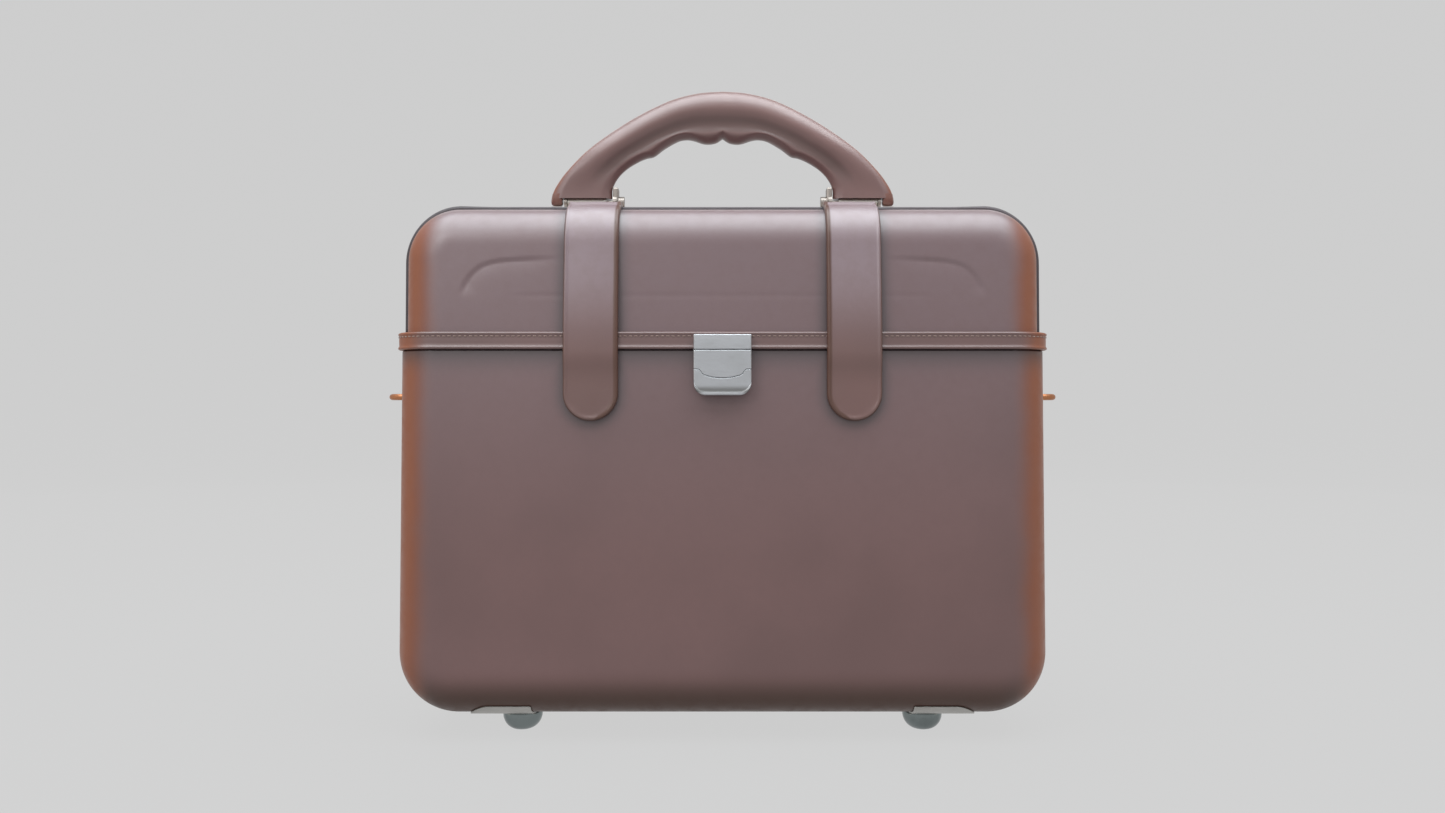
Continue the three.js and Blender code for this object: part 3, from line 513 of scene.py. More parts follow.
def brushed(name, colour, dark, roughness, where_painted_grey=None):
    """Satin metal with fine brush lines and faint stains, and a flat grey painted shade where the shade
    mask says.
    """
    look = Look(name, roughness, metallic=1.0)
    lines = look.noise(3, detail=2, stretch=(60, 900, 900))
    stain = look.remap(look.noise(70, detail=4), 0.42, 0.75)
    body = look.mix(look.math("MULTIPLY", stain, 0.55), colour, dark)
    if where_painted_grey:
        # Painted shade, in flat grey.
        body = look.mix(where_painted_grey(look), body, rgb(0.24, 0.24, 0.24))
    look.set(Base_Color=body)
    look.set(Roughness=look.remap(lines, 0.3, 0.7, roughness - 0.06, roughness + 0.1))
    look.set(Normal=look.bump(lines, 0.18, 0.03 * MM))
    return look.material


def suede(name, colour, dark):
    look = Look(name, 0.95, Sheen_Weight=0.5, Sheen_Roughness=0.45)
    nap = look.noise(900, detail=4, roughness=0.7)
    brushed_way = look.remap(look.noise(16, detail=3), 0.4, 0.65)
    look.set(Base_Color=look.mix(look.math("MULTIPLY", brushed_way, 0.6), colour, dark))
    look.set(Normal=look.bump(nap, 0.5, 0.12 * MM))
    return look.material


TAN = rgb(0.21, 0.052, 0.012)
DARK_TAN = rgb(0.08, 0.032, 0.02)
# The case's dark colour is a bluish painted shadow beside the straps and under the band. Its colour at the
# foot is painted shade round the base, and its pale colour is a painted highlight towards the top.
CASE_LEATHER = leather("case_leather", rgb(0.127, 0.056, 0.053), rgb(0.103, 0.043, 0.040), TAN,
                       painted_top_light=rgb(0.142, 0.087, 0.095), underside_shade=rgb(0.06, 0.027, 0.018),
                       dark=rgb(0.03, 0.028, 0.032), where_painted_shade=painted_shadow_by_straps)
# The strap's pale colour is a painted highlight over its upper part, which faces the light above.
STRAP_LEATHER = leather("strap_leather", rgb(0.135, 0.059, 0.052), rgb(0.112, 0.049, 0.042), DARK_TAN,
                        painted_top_light=rgb(0.2, 0.14, 0.156), rise=(238 * MM, 310 * MM))
BAND_LEATHER = leather("band_leather", rgb(0.128, 0.062, 0.058), rgb(0.108, 0.052, 0.048), TAN)
# The grip's dark colour is painted shade along its waist.
GRIP_LEATHER = leather("grip_leather", rgb(0.172, 0.083, 0.076), rgb(0.132, 0.062, 0.056), TAN,
                       grain=1400, dark=rgb(0.1, 0.046, 0.04), where_painted_shade=painted_waist_shade)
WELT_LEATHER = leather("welt_leather", rgb(0.075, 0.06, 0.066), rgb(0.05, 0.04, 0.045),
                       rgb(0.12, 0.07, 0.06), roughness=0.5, coat=0.1)
LINING = suede("lining_suede", rgb(0.31, 0.23, 0.16), rgb(0.22, 0.16, 0.11))
PALE_THREAD = thread("pale_thread", rgb(0.42, 0.29, 0.25))
# The lock's grey patches are painted shade.
LOCK_METAL = brushed("lock_metal", rgb(0.49, 0.5, 0.52), rgb(0.43, 0.44, 0.45), 0.48, lock_painted_shade)
PLATE_METAL = brushed("plate_metal", rgb(0.46, 0.45, 0.43), rgb(0.36, 0.35, 0.33), 0.4)
BRACKET_METAL = brushed("bracket_metal", rgb(0.38, 0.34, 0.31), rgb(0.28, 0.25, 0.22), 0.42)
STEEL = brushed("steel", rgb(0.56, 0.53, 0.49), rgb(0.4, 0.36, 0.32), 0.32)
FOOT_METAL = brushed("foot_metal", rgb(0.22, 0.25, 0.25), rgb(0.13, 0.15, 0.15), 0.14)
RING_METAL = brushed("ring_metal", rgb(0.5, 0.22, 0.11), rgb(0.33, 0.13, 0.06), 0.42)


# ---- Shells, linings and rim ----

def side_tan(points):
    """Tan on the side walls and on the roundings beside them."""
    out = np.abs(np.asarray(points)[:, 0])
    return smoothstep(out.max() - 32 * MM, out.max() - 2 * MM, out)


# The pressed crease on each side of the lid's front, from its lower end up and in towards the strap:
# distance from the middle and height, in mm.
CREASE = [(169, 283), (165.5, 292), (160, 299.5), (152.5, 304.5), (138, 307.3), (100, 309)]


def lid_form(points):
    """Draws the lid's outside in, and sinks the creases and a faint cross line into its front face."""
    points = drawn_in(points)
    line = curve_through(CREASE, 6) * MM
    flat = np.stack([np.abs(points[:, 0]), points[:, 2]], 1)
    nearest = np.full(len(points), 1.0)
    signed = np.zeros(len(points))
    fade = np.zeros(len(points))
    for i, (a, b) in enumerate(zip(line, line[1:])):
        along = b - a
        t = np.clip((flat - a) @ along / (along @ along), 0, 1)
        offset = flat - (a + t[:, None] * along)
        distance = np.hypot(*offset.T)
        near = distance < nearest
        nearest[near] = distance[near]
        side = np.sign(offset[:, 0] * along[1] - offset[:, 1] * along[0])
        signed[near] = (side * distance)[near]
        fade[near] = ((i + t) / (len(line) - 1))[near]
    on_front = points[:, 1] < ON_FRONT
    strength = smoothstep(0, 0.2, fade) * smoothstep(1, 0.85, fade)
    # The leather steps in sharply at the line and comes back slowly towards the middle of the lid.
    step = 0.9 * MM
    step_in = smoothstep(step, -step, signed) * np.exp(-np.maximum(-signed - step, 0) / (5 * MM))
    crease = strength * step_in * (nearest < 20 * MM) * 0.75 * MM
    cross_line = np.exp(-(((flat[:, 1] - 284 * MM) / (1.5 * MM)) ** 2)) * 0.12 * MM
    cross_line *= smoothstep(140 * MM, 120 * MM, flat[:, 0])
    points[:, 1] += (crease + cross_line) * on_front
    return points


def shells():
    ys = mirrored(spaced((0, 8 * MM), (40 * MM, 2.5 * MM), (HALF_DEPTH, 0)))
    xs = mirrored(spaced((0, 8 * MM), (160 * MM, 2.5 * MM), (HALF_WIDTH, 0)))
    rim = SEAM_Z - GAP / 2
    zs = spaced((BASE_Z, 2.5 * MM), (BASE_Z + 55 * MM, 8 * MM), (rim - 10 * MM, 3 * MM),
                (rim - 1 * MM, 1 * MM), (rim, 0))
    points, faces = Block(xs, ys, zs, open_top=True).walled(0, -WALL)
    lower = make_object("lower_case_leather", points, faces)
    mark(lower, "wear_and_painted_light", side_tan(points))
    finish_piece(lower, "case", CASE_LEATHER, ["lower_shell"])

    # The lid's grid is finer where the creases run.
    xs = mirrored(spaced((0, 3 * MM), (95 * MM, 1.5 * MM), (172 * MM, 2.5 * MM), (HALF_WIDTH, 0)))
    rim = SEAM_Z + GAP / 2
    zs = spaced((rim, 1 * MM), (rim + 1 * MM, 2.5 * MM), (278 * MM, 1.3 * MM), (312 * MM, 2.5 * MM),
                (TOP_Z, 0))
    points, faces = Block(xs, ys, zs, open_top=False).walled(0, -WALL, dent=lid_form)
    lid = make_object("lid_leather", points, faces)
    mark(lid, "wear_and_painted_light", side_tan(points))
    finish_piece(lid, "lid", CASE_LEATHER, ["lid_shell"])


def linings():
    cloth = (-WALL - GAP, -WALL - GAP - 2 * MM)  # the lining's outer and inner face
    xs = mirrored(spaced((0, 12 * MM), (160 * MM, 4 * MM), (HALF_WIDTH, 0)))
    ys = mirrored(spaced((0, 12 * MM), (40 * MM, 4 * MM), (HALF_DEPTH, 0)))
    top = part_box("lower_lining")[1].z
    zs = spaced((BASE_Z, 4 * MM), (BASE_Z + 50 * MM, 12 * MM), (top, 0))
    lower = make_object("lower_suede_lining", *Block(xs, ys, zs, open_top=True).walled(*cloth))
    finish_piece(lower, "case", LINING, ["lower_lining"])
    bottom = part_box("lid_lining")[0].z
    zs = spaced((bottom, 12 * MM), (TOP_Z - 45 * MM, 4 * MM), (TOP_Z, 0))
    lid = make_object("lid_suede_lining", *Block(xs, ys, zs, open_top=False).walled(*cloth))
    finish_piece(lid, "lid", LINING, ["lid_lining"])


def round_the_case(step=2.5 * MM):
    """Points on the bounding block's outline seen from above, from the rear left round the front."""
    front = spaced((-HALF_WIDTH, step), (HALF_WIDTH, 0))
    side = spaced((HALF_DEPTH, step), (-HALF_DEPTH, 0))
    rear = spaced((-HINGE_HALF - 3 * MM, step), (-HALF_WIDTH, 0))
    path = [(x, HALF_DEPTH) for x in rear]
    path += [(-HALF_WIDTH, y) for y in side[1:]]
    path += [(x, -HALF_DEPTH) for x in front[1:]]
    path += [(HALF_WIDTH, y) for y in side[::-1][1:]]
    path += [(-x, HALF_DEPTH) for x in rear[::-1][1:]]
    return np.array(path)


def rim_tongue():
    """The strip inside the rim that lines the lid up with the case."""
    low, high = (corner.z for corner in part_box("rim_tongue"))
    whole = round_the_case(4 * MM)
    across = spaced((HINGE_HALF + 3 * MM, 8 * MM), (-HINGE_HALF - 3 * MM, 0))[1:-1]
    whole = np.concatenate([whole, [(x, HALF_DEPTH) for x in across]])
    outer, inner, ease = -4.35 * MM, -6.25 * MM, 0.45 * MM
    shoulder = high - 0.7 * MM
    profile = [(low, outer), (shoulder, outer), (high, outer - ease), (high, inner + ease),
               (shoulder, inner), (low, inner)]
    rings = [[case_points([(x, y, z)], off)[0] for z, off in profile] for x, y in whole]
    tongue = make_object("rim_tongue_strip", *ring_skin(rings, closed=True))
    sharpen(tongue)
    finish_piece(tongue, "case", STEEL, ["rim_tongue"])


# Cross-section of the folded band: height above its lower edge and distance out from the lid, in mm.
# A bead runs along each edge, with a slightly domed face between them.
BAND_PROFILE = [(0, 0.4), (0, 1.5), (0.35, 2.3), (0.9, 2.7), (1.5, 2.65), (2.0, 2.3), (2.6, 2.05),
                (4.2, 2.1), (5.6, 2.15), (7.0, 2.1), (8.6, 2.05), (9.2, 2.3), (9.7, 2.65), (10.3, 2.7),
                (10.85, 2.3), (11.2, 1.5), (11.2, 0.4)]


def band():
    path = round_the_case()
    heights = np.array([h for h, _ in BAND_PROFILE]) * MM + BAND_LOW
    offsets = np.array([off for _, off in BAND_PROFILE]) * MM
    rings = []
    for x, y in path:
        ring = case_points([(x, y, z) for z in heights], offsets)
        ring[[0, -1]] = drawn_in(ring[[0, -1]])
        rings.append(ring)
    points, faces = ring_skin(rings)
    strip = make_object("lid_band_leather", points, faces)
    beads = np.tile(np.where(offsets > 2.5 * MM, 0.12, 0.0), len(path))
    mark(strip, "wear_and_painted_light", np.maximum(side_tan(points), beads))
    finish_piece(strip, "lid", BAND_LEATHER, ["lid_band"])
    row = [(x, y, BAND_LOW + 8.3 * MM) for x, y in path]
    on_band = case_points(row, 2.2 * MM)
    stitches("band_stitches", on_band, on_band - case_points(row))


def stitches(name, line, out):
    """Short thread stitches along a row of points, with the outward direction at each."""
    pitch, length, radius = 3.4 * MM, 2.3 * MM, 0.33 * MM
    at = np.concatenate([[0], np.cumsum(np.linalg.norm(np.diff(line, axis=0), axis=1))])
    parts = []
    for start in np.arange(pitch, at[-1] - length, pitch):
        near, far, up = (np.array([np.interp(s, at, rows[:, k]) for k in range(3)])
                         for s, rows in ((start, line), (start + length, line), (start, out)))
        up /= np.linalg.norm(up)
        across = np.cross((far - near) / np.linalg.norm(far - near), up)
        rings = []
        for t, size in ((0, 0.35), (0.2, 0.95), (0.8, 0.95), (1, 0.35)):
            centre = near + (far - near) * t + up * radius * (size - 0.45)
            rings.append([centre + radius * size * (across * math.cos(turn) + up * math.sin(turn))
                          for turn in np.linspace(0, math.tau, 6, endpoint=False)])
        parts.append(ring_skin(rings))
    finish_piece(make_object(name, *joined(parts)), "lid", PALE_THREAD)


# ---- Welts ----

def welt(name, path, front, proud, body, node):
    """A rounded piping along a path on the case's outline, fuller at the lid's corners."""
    turns = np.linspace(0, math.pi, 11)
    across = front * (WELT_Y - WELT_HALF * np.cos(turns))
    low_rise = 0.2 * MM + proud * np.sin(turns) ** 0.8
    rings = []
    for x, z in path:
        if body == "lid":
            fuller = 0.8 * MM * smoothstep(150 * MM, 190 * MM, abs(x)) * np.sin(turns)
            rings.append(drawn_in(case_points([(x, y, z) for y in across], low_rise + fuller)))
        else:
            rings.append(case_points([(x, y, z) for y in across], low_rise))
    points, faces = ring_skin(rings)
    obj = make_object(name, points, faces)
    mark(obj, "wear_and_painted_light", np.zeros(len(points)))
    finish_piece(obj, body, WELT_LEATHER, [node])


def welts():
    across = spaced((-HALF_WIDTH, 3 * MM), (HALF_WIDTH, 0))
    up = spaced((BAND_HIGH + GAP, 3 * MM), (TOP_Z, 0))
    over = [(-HALF_WIDTH, z) for z in up] + [(x, TOP_Z) for x in across[1:]]
    over += [(HALF_WIDTH, z) for z in up[::-1][1:]]
    down = spaced((SEAM_Z - GAP, 3 * MM), (BASE_Z, 0))
    under = [(-HALF_WIDTH, z) for z in down] + [(x, BASE_Z) for x in across[1:]]
    under += [(HALF_WIDTH, z) for z in down[::-1][1:]]
    for front, tag in ((-1, "front"), (1, "rear")):
        welt(f"lid_piping_{tag}", over, front, 2.4 * MM, "lid", f"lid_welt_{tag}")
        welt(f"case_piping_{tag}", under, front, 1.2 * MM, "case", f"body_welt_{tag}")


# ---- Straps ----

REAR_Z = 270 * MM
# The strap's thickness from its edge to its middle, with a soft raised border: distance from the edge and
# height of its top above its underside, in mm.
STRAP_BORDER = np.array([(0, 1.5), (0.35, 2.35), (0.8, 2.8), (1.4, 3.0), (1.9, 2.97), (2.4, 2.75),
                         (2.9, 2.55), (3.6, 2.55), (17.5, 2.8)]) * MM
EDGE_STEPS = np.array([*STRAP_BORDER[:-1, 0], 7 * MM, 11 * MM, STRAP_HALF])


def strap_lift(y, z):
    """How far the strap's underside stands off the case: it climbs over the band and the piping."""
    if y < -HALF_DEPTH + 0.1 * MM:
        over_band = smoothstep(226 * MM, 248 * MM, z) * smoothstep(326 * MM, 262 * MM, z)
        loose_tip = smoothstep(238 * MM, 226 * MM, z)
        return float(GAP + 2.6 * MM * over_band + 0.6 * MM * loose_tip)
    if z > TOP_Z - 0.1 * MM:
        return float(GAP + 2.55 * MM * smoothstep(9 * MM, 3.2 * MM, abs(abs(y) - WELT_Y)))
    return GAP


def strap_rows():
    """Places along the strap on the bounding block, as (y, z, half width)."""
    up = spaced((REAR_Z, 3 * MM), (TOP_Z - 26 * MM, 2 * MM), (TOP_Z, 0))
    over = spaced((HALF_DEPTH, 1.6 * MM), (-HALF_DEPTH, 0))[1:]
    down = spaced((TOP_Z, 2 * MM), (275 * MM, 1.5 * MM), (235 * MM, 2 * MM), (TIP_CENTRE, 0))[1:]
    rows = [(HALF_DEPTH, z, STRAP_HALF) for z in up]
    rows += [(y, TOP_Z, STRAP_HALF) for y in over]
    rows += [(-HALF_DEPTH, z, STRAP_HALF) for z in down]
    for turn in np.linspace(0, math.pi / 2, 22)[1:-1]:
        rows.append((-HALF_DEPTH, TIP_CENTRE - STRAP_HALF * math.sin(turn), STRAP_HALF * math.cos(turn)))
    return rows


def strap(side, tag):
    """One whole strap, over the lid and down past the band."""
    centre = side * STRAP_X
    halves = STRAP_HALF - EDGE_STEPS
    columns = np.concatenate([-halves[:-1], halves[::-1]]) / STRAP_HALF
    rings, wear_and_painted_light = [], []
    for y, z, half in strap_rows():
        across = columns * half
        past_tip = max(TIP_CENTRE - z, 0) if y < 0 else 0
        edge = np.maximum(STRAP_HALF - np.hypot(across, past_tip), 0)
        lift = strap_lift(y, z)
        rise = np.interp(edge, *STRAP_BORDER.T)
        top = case_points([(centre + c, y, z) for c in across], lift + rise)
        under = case_points([(centre + c, y, z) for c in (half, half * 0.5, 0, -half * 0.5, -half)], lift)
        rings.append(np.concatenate([top, under]))
        # The border is darker and wider on the strap's inner side: the worn edge itself, and painted shade
        # beside it.
        outer_border = smoothstep(2.9 * MM, 1.5 * MM, edge) * 0.3
        border = np.where(across * side < -0.5 * half, smoothstep(4.4 * MM, 1.6 * MM, edge), outer_border)
        rim = smoothstep(1.4 * MM, 0.4 * MM, edge) * 0.8
        wear_and_painted_light += [*np.maximum(border, rim), *[0.5] * len(under)]
    obj = make_object(f"strap_leather_{tag}", *ring_skin(rings))
    mark(obj, "wear_and_painted_light", wear_and_painted_light)
    sharpen(obj, 50)
    finish_piece(obj, None, STRAP_LEATHER, [f"strap_{tag}", f"strap_end_{tag}"])
    y = -float(half_depth(SEAM_Z)) - 4 * MM
    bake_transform(obj)


# ---- Lock ----

LOCK_CORNER = 7.5 * MM
PIN_Y = LOCK_FRONT + BARREL
LIP_SIDE = tab_high.z
LIP_DIP = 5.6 * MM
TAB_BACK = -64.2 * MM


def lip_height(x):
    """The hasp's smiling lower lip: level at the sides, a short steep step, then a shallow bowl."""
    step = LIP_DIP * 0.5 * float(smoothstep(LOCK_HALF - 2.8 * MM, LOCK_HALF - 6.4 * MM, abs(x)))
    bowl = LIP_DIP * 0.5 * max(1 - (abs(x) / (LOCK_HALF - 4.5 * MM)) ** 2, 0)
    return LIP_SIDE - step - bowl


def lock_bottom(x):
    into = max(abs(x) - (LOCK_HALF - LOCK_CORNER), 0)
    return LOCK_BOTTOM + LOCK_CORNER - math.sqrt(max(LOCK_CORNER**2 - into**2, 0))


def lock_stations():
    """Stations across the lock, closer together towards the round lower corners."""
    half = LOCK_HALF - LOCK_CORNER
    xs = [half * i / 16 for i in range(17)]
    xs += [half + LOCK_CORNER * math.sin(i * math.pi / 24) for i in range(1, 11)]
    return mirrored(np.array(sorted([*xs, LOCK_HALF - 0.35 * MM, LOCK_HALF])))


def arc(centre, radius, start, end, count=7):
    """Points (y, z) on an arc, angles in degrees from +Y towards +Z."""
    turns = np.radians(np.linspace(start, end, count))
    return [(centre[0] + radius * math.cos(t), centre[1] + radius * math.sin(t)) for t in turns]


def across_lock(name, profile_at, body, nodes):
    """Sweeps a side profile (y, z) across the lock, with its front drawn in at both ends."""
    rings = []
    for x in lock_stations():
        profile = np.array(profile_at(x))
        end = max(abs(x) - (LOCK_HALF - 0.4 * MM), 0)
        profile[:, 0] += end * 0.9 * (profile[:, 0] < LOCK_FRONT + 1 * MM)
        rings.append([(x, y, z) for y, z in profile])
    obj = make_object(name, *ring_skin(rings))
    sharpen(obj, 42)
    finish_piece(obj, body, LOCK_METAL, nodes)


def upper_plate_profile(_):
    """The same all the way across."""
    front, soft = LOCK_FRONT + 0.4 * MM, 0.7 * MM
    low, top = LOCK_PIN_Z + BARREL + GAP, LOCK_TOP
    points = arc((front + soft, top - soft), soft, 180, 90)
    points += [(-float(half_depth(z)) - 3.1 * MM, z) for z in np.linspace(top, low, 4)]
    points += [(front + 0.2 * MM, low), (front, low + 0.2 * MM)]
    return points


def hasp_profile(x):
    lip = lip_height(x)
    soft = 0.5 * MM
    # The front runs up flat and then turns into the round of the barrel.
    points = [(PIN_Y - BARREL * out, LOCK_PIN_Z + BARREL * up)
              for out, up in ((1, 0.35), (1, 0.55), (0.93, 0.7), (0.75, 0.83))]
    points += arc((PIN_Y, LOCK_PIN_Z), BARREL, 120, 0, 9)
    bottom = lock_bottom(x) + 0.5 * MM
    points += [(LOCK_BACK - 0.3 * MM, LOCK_PIN_Z), (LOCK_BACK, LOCK_PIN_Z - 0.3 * MM), (LOCK_BACK, bottom),
               (TAB_BACK + GAP, bottom), (TAB_BACK + GAP, lip + 0.01 * MM)]
    points += arc((LOCK_FRONT + soft, lip + soft), soft, 270, 180)
    points.append((LOCK_FRONT, lip + soft + 0.3 * MM))
    return points


def tab_profile(x):
    top = lip_height(x) - GAP
    low = lock_bottom(x)
    soft, edge = 0.8 * MM, 0.3 * MM
    roll = 0.5 * MM  # how far the thumb's ledge at the foot stands forward
    points = [(LOCK_FRONT, top - 2 * edge)] + arc((LOCK_FRONT + edge, top - edge), edge, 180, 90, 4)
    points += [(TAB_BACK, top), (TAB_BACK, low + edge), (TAB_BACK - edge, low)]
    points += arc((LOCK_FRONT - roll + soft, low + soft), soft, 270, 180)
    points += [(LOCK_FRONT - roll, low + 1.3 * MM), (LOCK_FRONT - roll * 0.6, low + 1.9 * MM),
               (LOCK_FRONT, low + 2.6 * MM), (LOCK_FRONT, low + 2.9 * MM)]
    return points


def lock():
    across_lock("lock_top_plate", upper_plate_profile, "lid", ["lock_upper_plate"])
    across_lock("lock_hasp", hasp_profile, "hasp", ["hasp_flap"])
    across_lock("lock_thumb_tab", tab_profile, "tab", ["thumb_tab"])
    pawl_low = (-4 * MM, TAB_BACK - 0.5 * MM, 228.8 * MM)
    pawl_high = (4 * MM, tab_high.y, 231.2 * MM)
    finish_piece(block("lock_pawl", pawl_low, pawl_high, 0.4 * MM), "tab", LOCK_METAL)


def block(name, low, high, soft):
    """A rectangular block with softened edges."""
    points = list(itertools.product(*zip(low, high)))
    faces = [(0, 1, 3, 2), (4, 5, 7, 6), (0, 1, 5, 4), (2, 3, 7, 6), (0, 2, 6, 4), (1, 3, 7, 5)]
    obj = make_object(name, points, faces, smooth=False)
    bevel(obj, soft)
    return obj


# ---- Handle ----

# Half of the grip seen from the front, in mm: its outer edge, its inner edge with the finger hollows, and
# the inner edge without them, for the tube above them. Each line runs down to its foot.
HANDLE_OUTER = [(0, 430.6), (16, 429.4), (34, 425), (53, 416.4), (72.5, 405), (93, 390.4), (107.5, 376),
                (114.8, 366), (117.6, 360), (118, 356.8)]
HANDLE_INNER = [(0, 398.4), (5, 395.4), (12, 394.8), (20, 397.2), (25, 397.8), (31, 396.5), (40, 391.4),
                (47, 386.2), (52, 385), (58, 382.5), (66, 377.5), (72, 371.5), (76, 364), (76.3, 356.8)]
HANDLE_EVEN = [(0, 396.4), (20, 396.6), (36, 392.4), (50, 386), (62, 380), (72, 371.5), (76, 364),
               (76.3, 356.8)]


def even_line(line, count):
    """The line again, with its points at even distances."""
    at = np.concatenate([[0], np.cumsum(np.linalg.norm(np.diff(line, axis=0), axis=1))])
    return np.stack([np.interp(np.linspace(0, at[-1], count), at, line[:, k]) for k in range(2)], 1)


# Half of the grip's section: place from the outer edge 1 to the inner edge -1, and share of the half
# depth. A full tube above turns in sharply to a waist, with a narrower flange for the fingers below.
GRIP_SECTION = [(1, 0), (0.985, 0.23), (0.94, 0.44), (0.83, 0.66), (0.68, 0.825), (0.52, 0.93),
                (0.36, 0.985), (0.2, 1), (0.06, 0.965), (-0.08, 0.885), (-0.2, 0.79), (-0.32, 0.705),
                (-0.43, 0.665), (-0.54, 0.66), (-0.65, 0.678), (-0.74, 0.682), (-0.81, 0.62),
                (-0.88, 0.48), (-0.94, 0.33), (-0.985, 0.17), (-1, 0)]
FOOT_HALF = 4.4 * MM
GRIP_HALF = 12.4 * MM

# The foot's outer corner, from its top down, in mm: height, outer edge and half depth.
TOE_ROWS = [(360, 117.4, 4.2), (356.8, 118.1, 4), (354.5, 118.4, 3.2), (353, 118.2, 2.4),
            (352.2, 117.4, 1.6), (352, 116.4, 1)]


def grip_section():
    half = curve_through(GRIP_SECTION, 3)
    half[:, 1] = np.maximum(half[:, 1], 0)
    back = half[1:-1][::-1] * np.array([1, -1])
    return np.concatenate([half, back]).T


def handle():
    lines = []
    for half_line in (HANDLE_OUTER, HANDLE_INNER, HANDLE_EVEN):
        line = even_line(curve_through(half_line, 10), 90) * MM
        lines.append(np.concatenate([line[::-1] * np.array([-1, 1]), line[1:]]))
    place, depth = grip_section()
    # Towards its feet, the section turns from the waisted grip into a flat strap with round edges.
    flat = np.sign(depth) * np.minimum(1, 1.25 * np.sqrt(np.clip(1 - np.abs(place) ** 2.6, 0, 1)))
    to_fingers = smoothstep(-0.45, -0.95, place)
    # Where the waist takes painted shade: the tube's underside, which turns down away from the light.
    at_waist = smoothstep(0.02, -0.28, place) * smoothstep(-0.76, -0.6, place)
    rings, wear_and_painted_light, waist_shade = [], [], []
    for edge, fingers, even in zip(*lines):
        middle = (edge + even) / 2
        rise = float(smoothstep(HANDLE_FOOT, HANDLE_FOOT + 46 * MM, middle[1]))
        grip = float(smoothstep(HANDLE_FOOT + 2 * MM, HANDLE_FOOT + 24 * MM, middle[1]))
        half = FOOT_HALF + (GRIP_HALF - FOOT_HALF) * rise
        shape = flat + (depth - flat) * grip
        across, hollow = (edge - even) / 2, fingers - even
        xs, zs = (middle[k] + across[k] * place + hollow[k] * to_fingers for k in (0, 1))
        rings.append(list(zip(xs, half * shape, zs)))
        # Tan along the outer edge, less towards the feet; and a painted highlight along the underside,
        # standing in for the light thrown up from the floor.
        outer_tan = 0.7 - 0.35 * rise
        wear_and_painted_light += list(smoothstep(0.72, 1.0, place) * outer_tan + smoothstep(-0.9, -1.0, place) * 0.25)
        waist_shade += list(at_waist * grip)
    toes = [toe(-1), toe(1)]
    toe_count = sum(len(points) for points, _ in toes)
    leather_grip = make_object("handle_grip_leather", *joined([ring_skin(rings), *toes]))
    mark(leather_grip, "wear_and_painted_light", wear_and_painted_light + [0.45] * toe_count)
    mark(leather_grip, "waist_shade", waist_shade + [0.0] * toe_count)
    sharpen(leather_grip, 55)
    finish_piece(leather_grip, "handle", GRIP_LEATHER, ["handle_grip"])


def toe(side):
    """The foot's outer corner, which reaches down beside the bracket's ear."""
    rings = []
    widest = max(out for _, out, _ in TOE_ROWS)
    for z, out, half in TOE_ROWS:
        inner = 110.6 + (widest - out) * 0.8
        corners = ((inner, -0.8), (inner + 1, -1), (out - 1.5, -1), (out, -0.5), (out, 0.5), (out - 1.5, 1),
                   (inner + 1, 1), (inner, 0.8))
        rings.append([(side * x * MM, y * half * MM, z * MM) for x, y in corners])
    return ring_skin(rings)


def bracket_cheeks():
    """Each handle bracket's upright cheek, against the inner side of the handle's foot."""
    inner, outer, half, low, high = 71.8 * MM, 75.6 * MM, 4.4 * MM, 354 * MM, 364.3 * MM
    for side, tag in ((-1, "left"), (1, "right")):
        start, end = sorted((side * inner, side * outer))
        cheek = block(f"bracket_cheek_{tag}", (start, -half, low), (end, half, high), 1.1 * MM)
        finish_piece(cheek, "lid", BRACKET_METAL)


# ---- Feet and rings ----

def feet():
    flat, stem = 4 * MM, 3 * MM
    rim_low, rim_high = 12.2 * MM, 12.8 * MM
    for front, depth in ((-1, "front"), (1, "rear")):
        for side, tag in ((-1, "left"), (1, "right")):
            node = f"foot_{depth}_{tag}"
            low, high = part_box(node)
            radius = (high.x - low.x) / 2
            profile = [(flat / 2, 0), (flat, 0)]
            profile += [(flat + (radius - flat) * math.sin(t), 10.1 * MM * (1 - math.cos(t)))
                        for t in np.linspace(0, math.pi / 2, 20)[1:]]
            profile += [(radius, rim_low), (radius - 0.5 * MM, rim_high), (stem, rim_high + 0.05 * MM),
                        (stem, high.z)]
            rings = [circle((low + high) / 2, r, z, 48) for r, z in profile]
            dome = make_object(f"{node}_dome", *ring_skin(rings))
            sharpen(dome, 50)
            finish_piece(dome, "case", FOOT_METAL, [node])
            foot_plate(f"foot_plate_{depth}_{tag}", front, side)


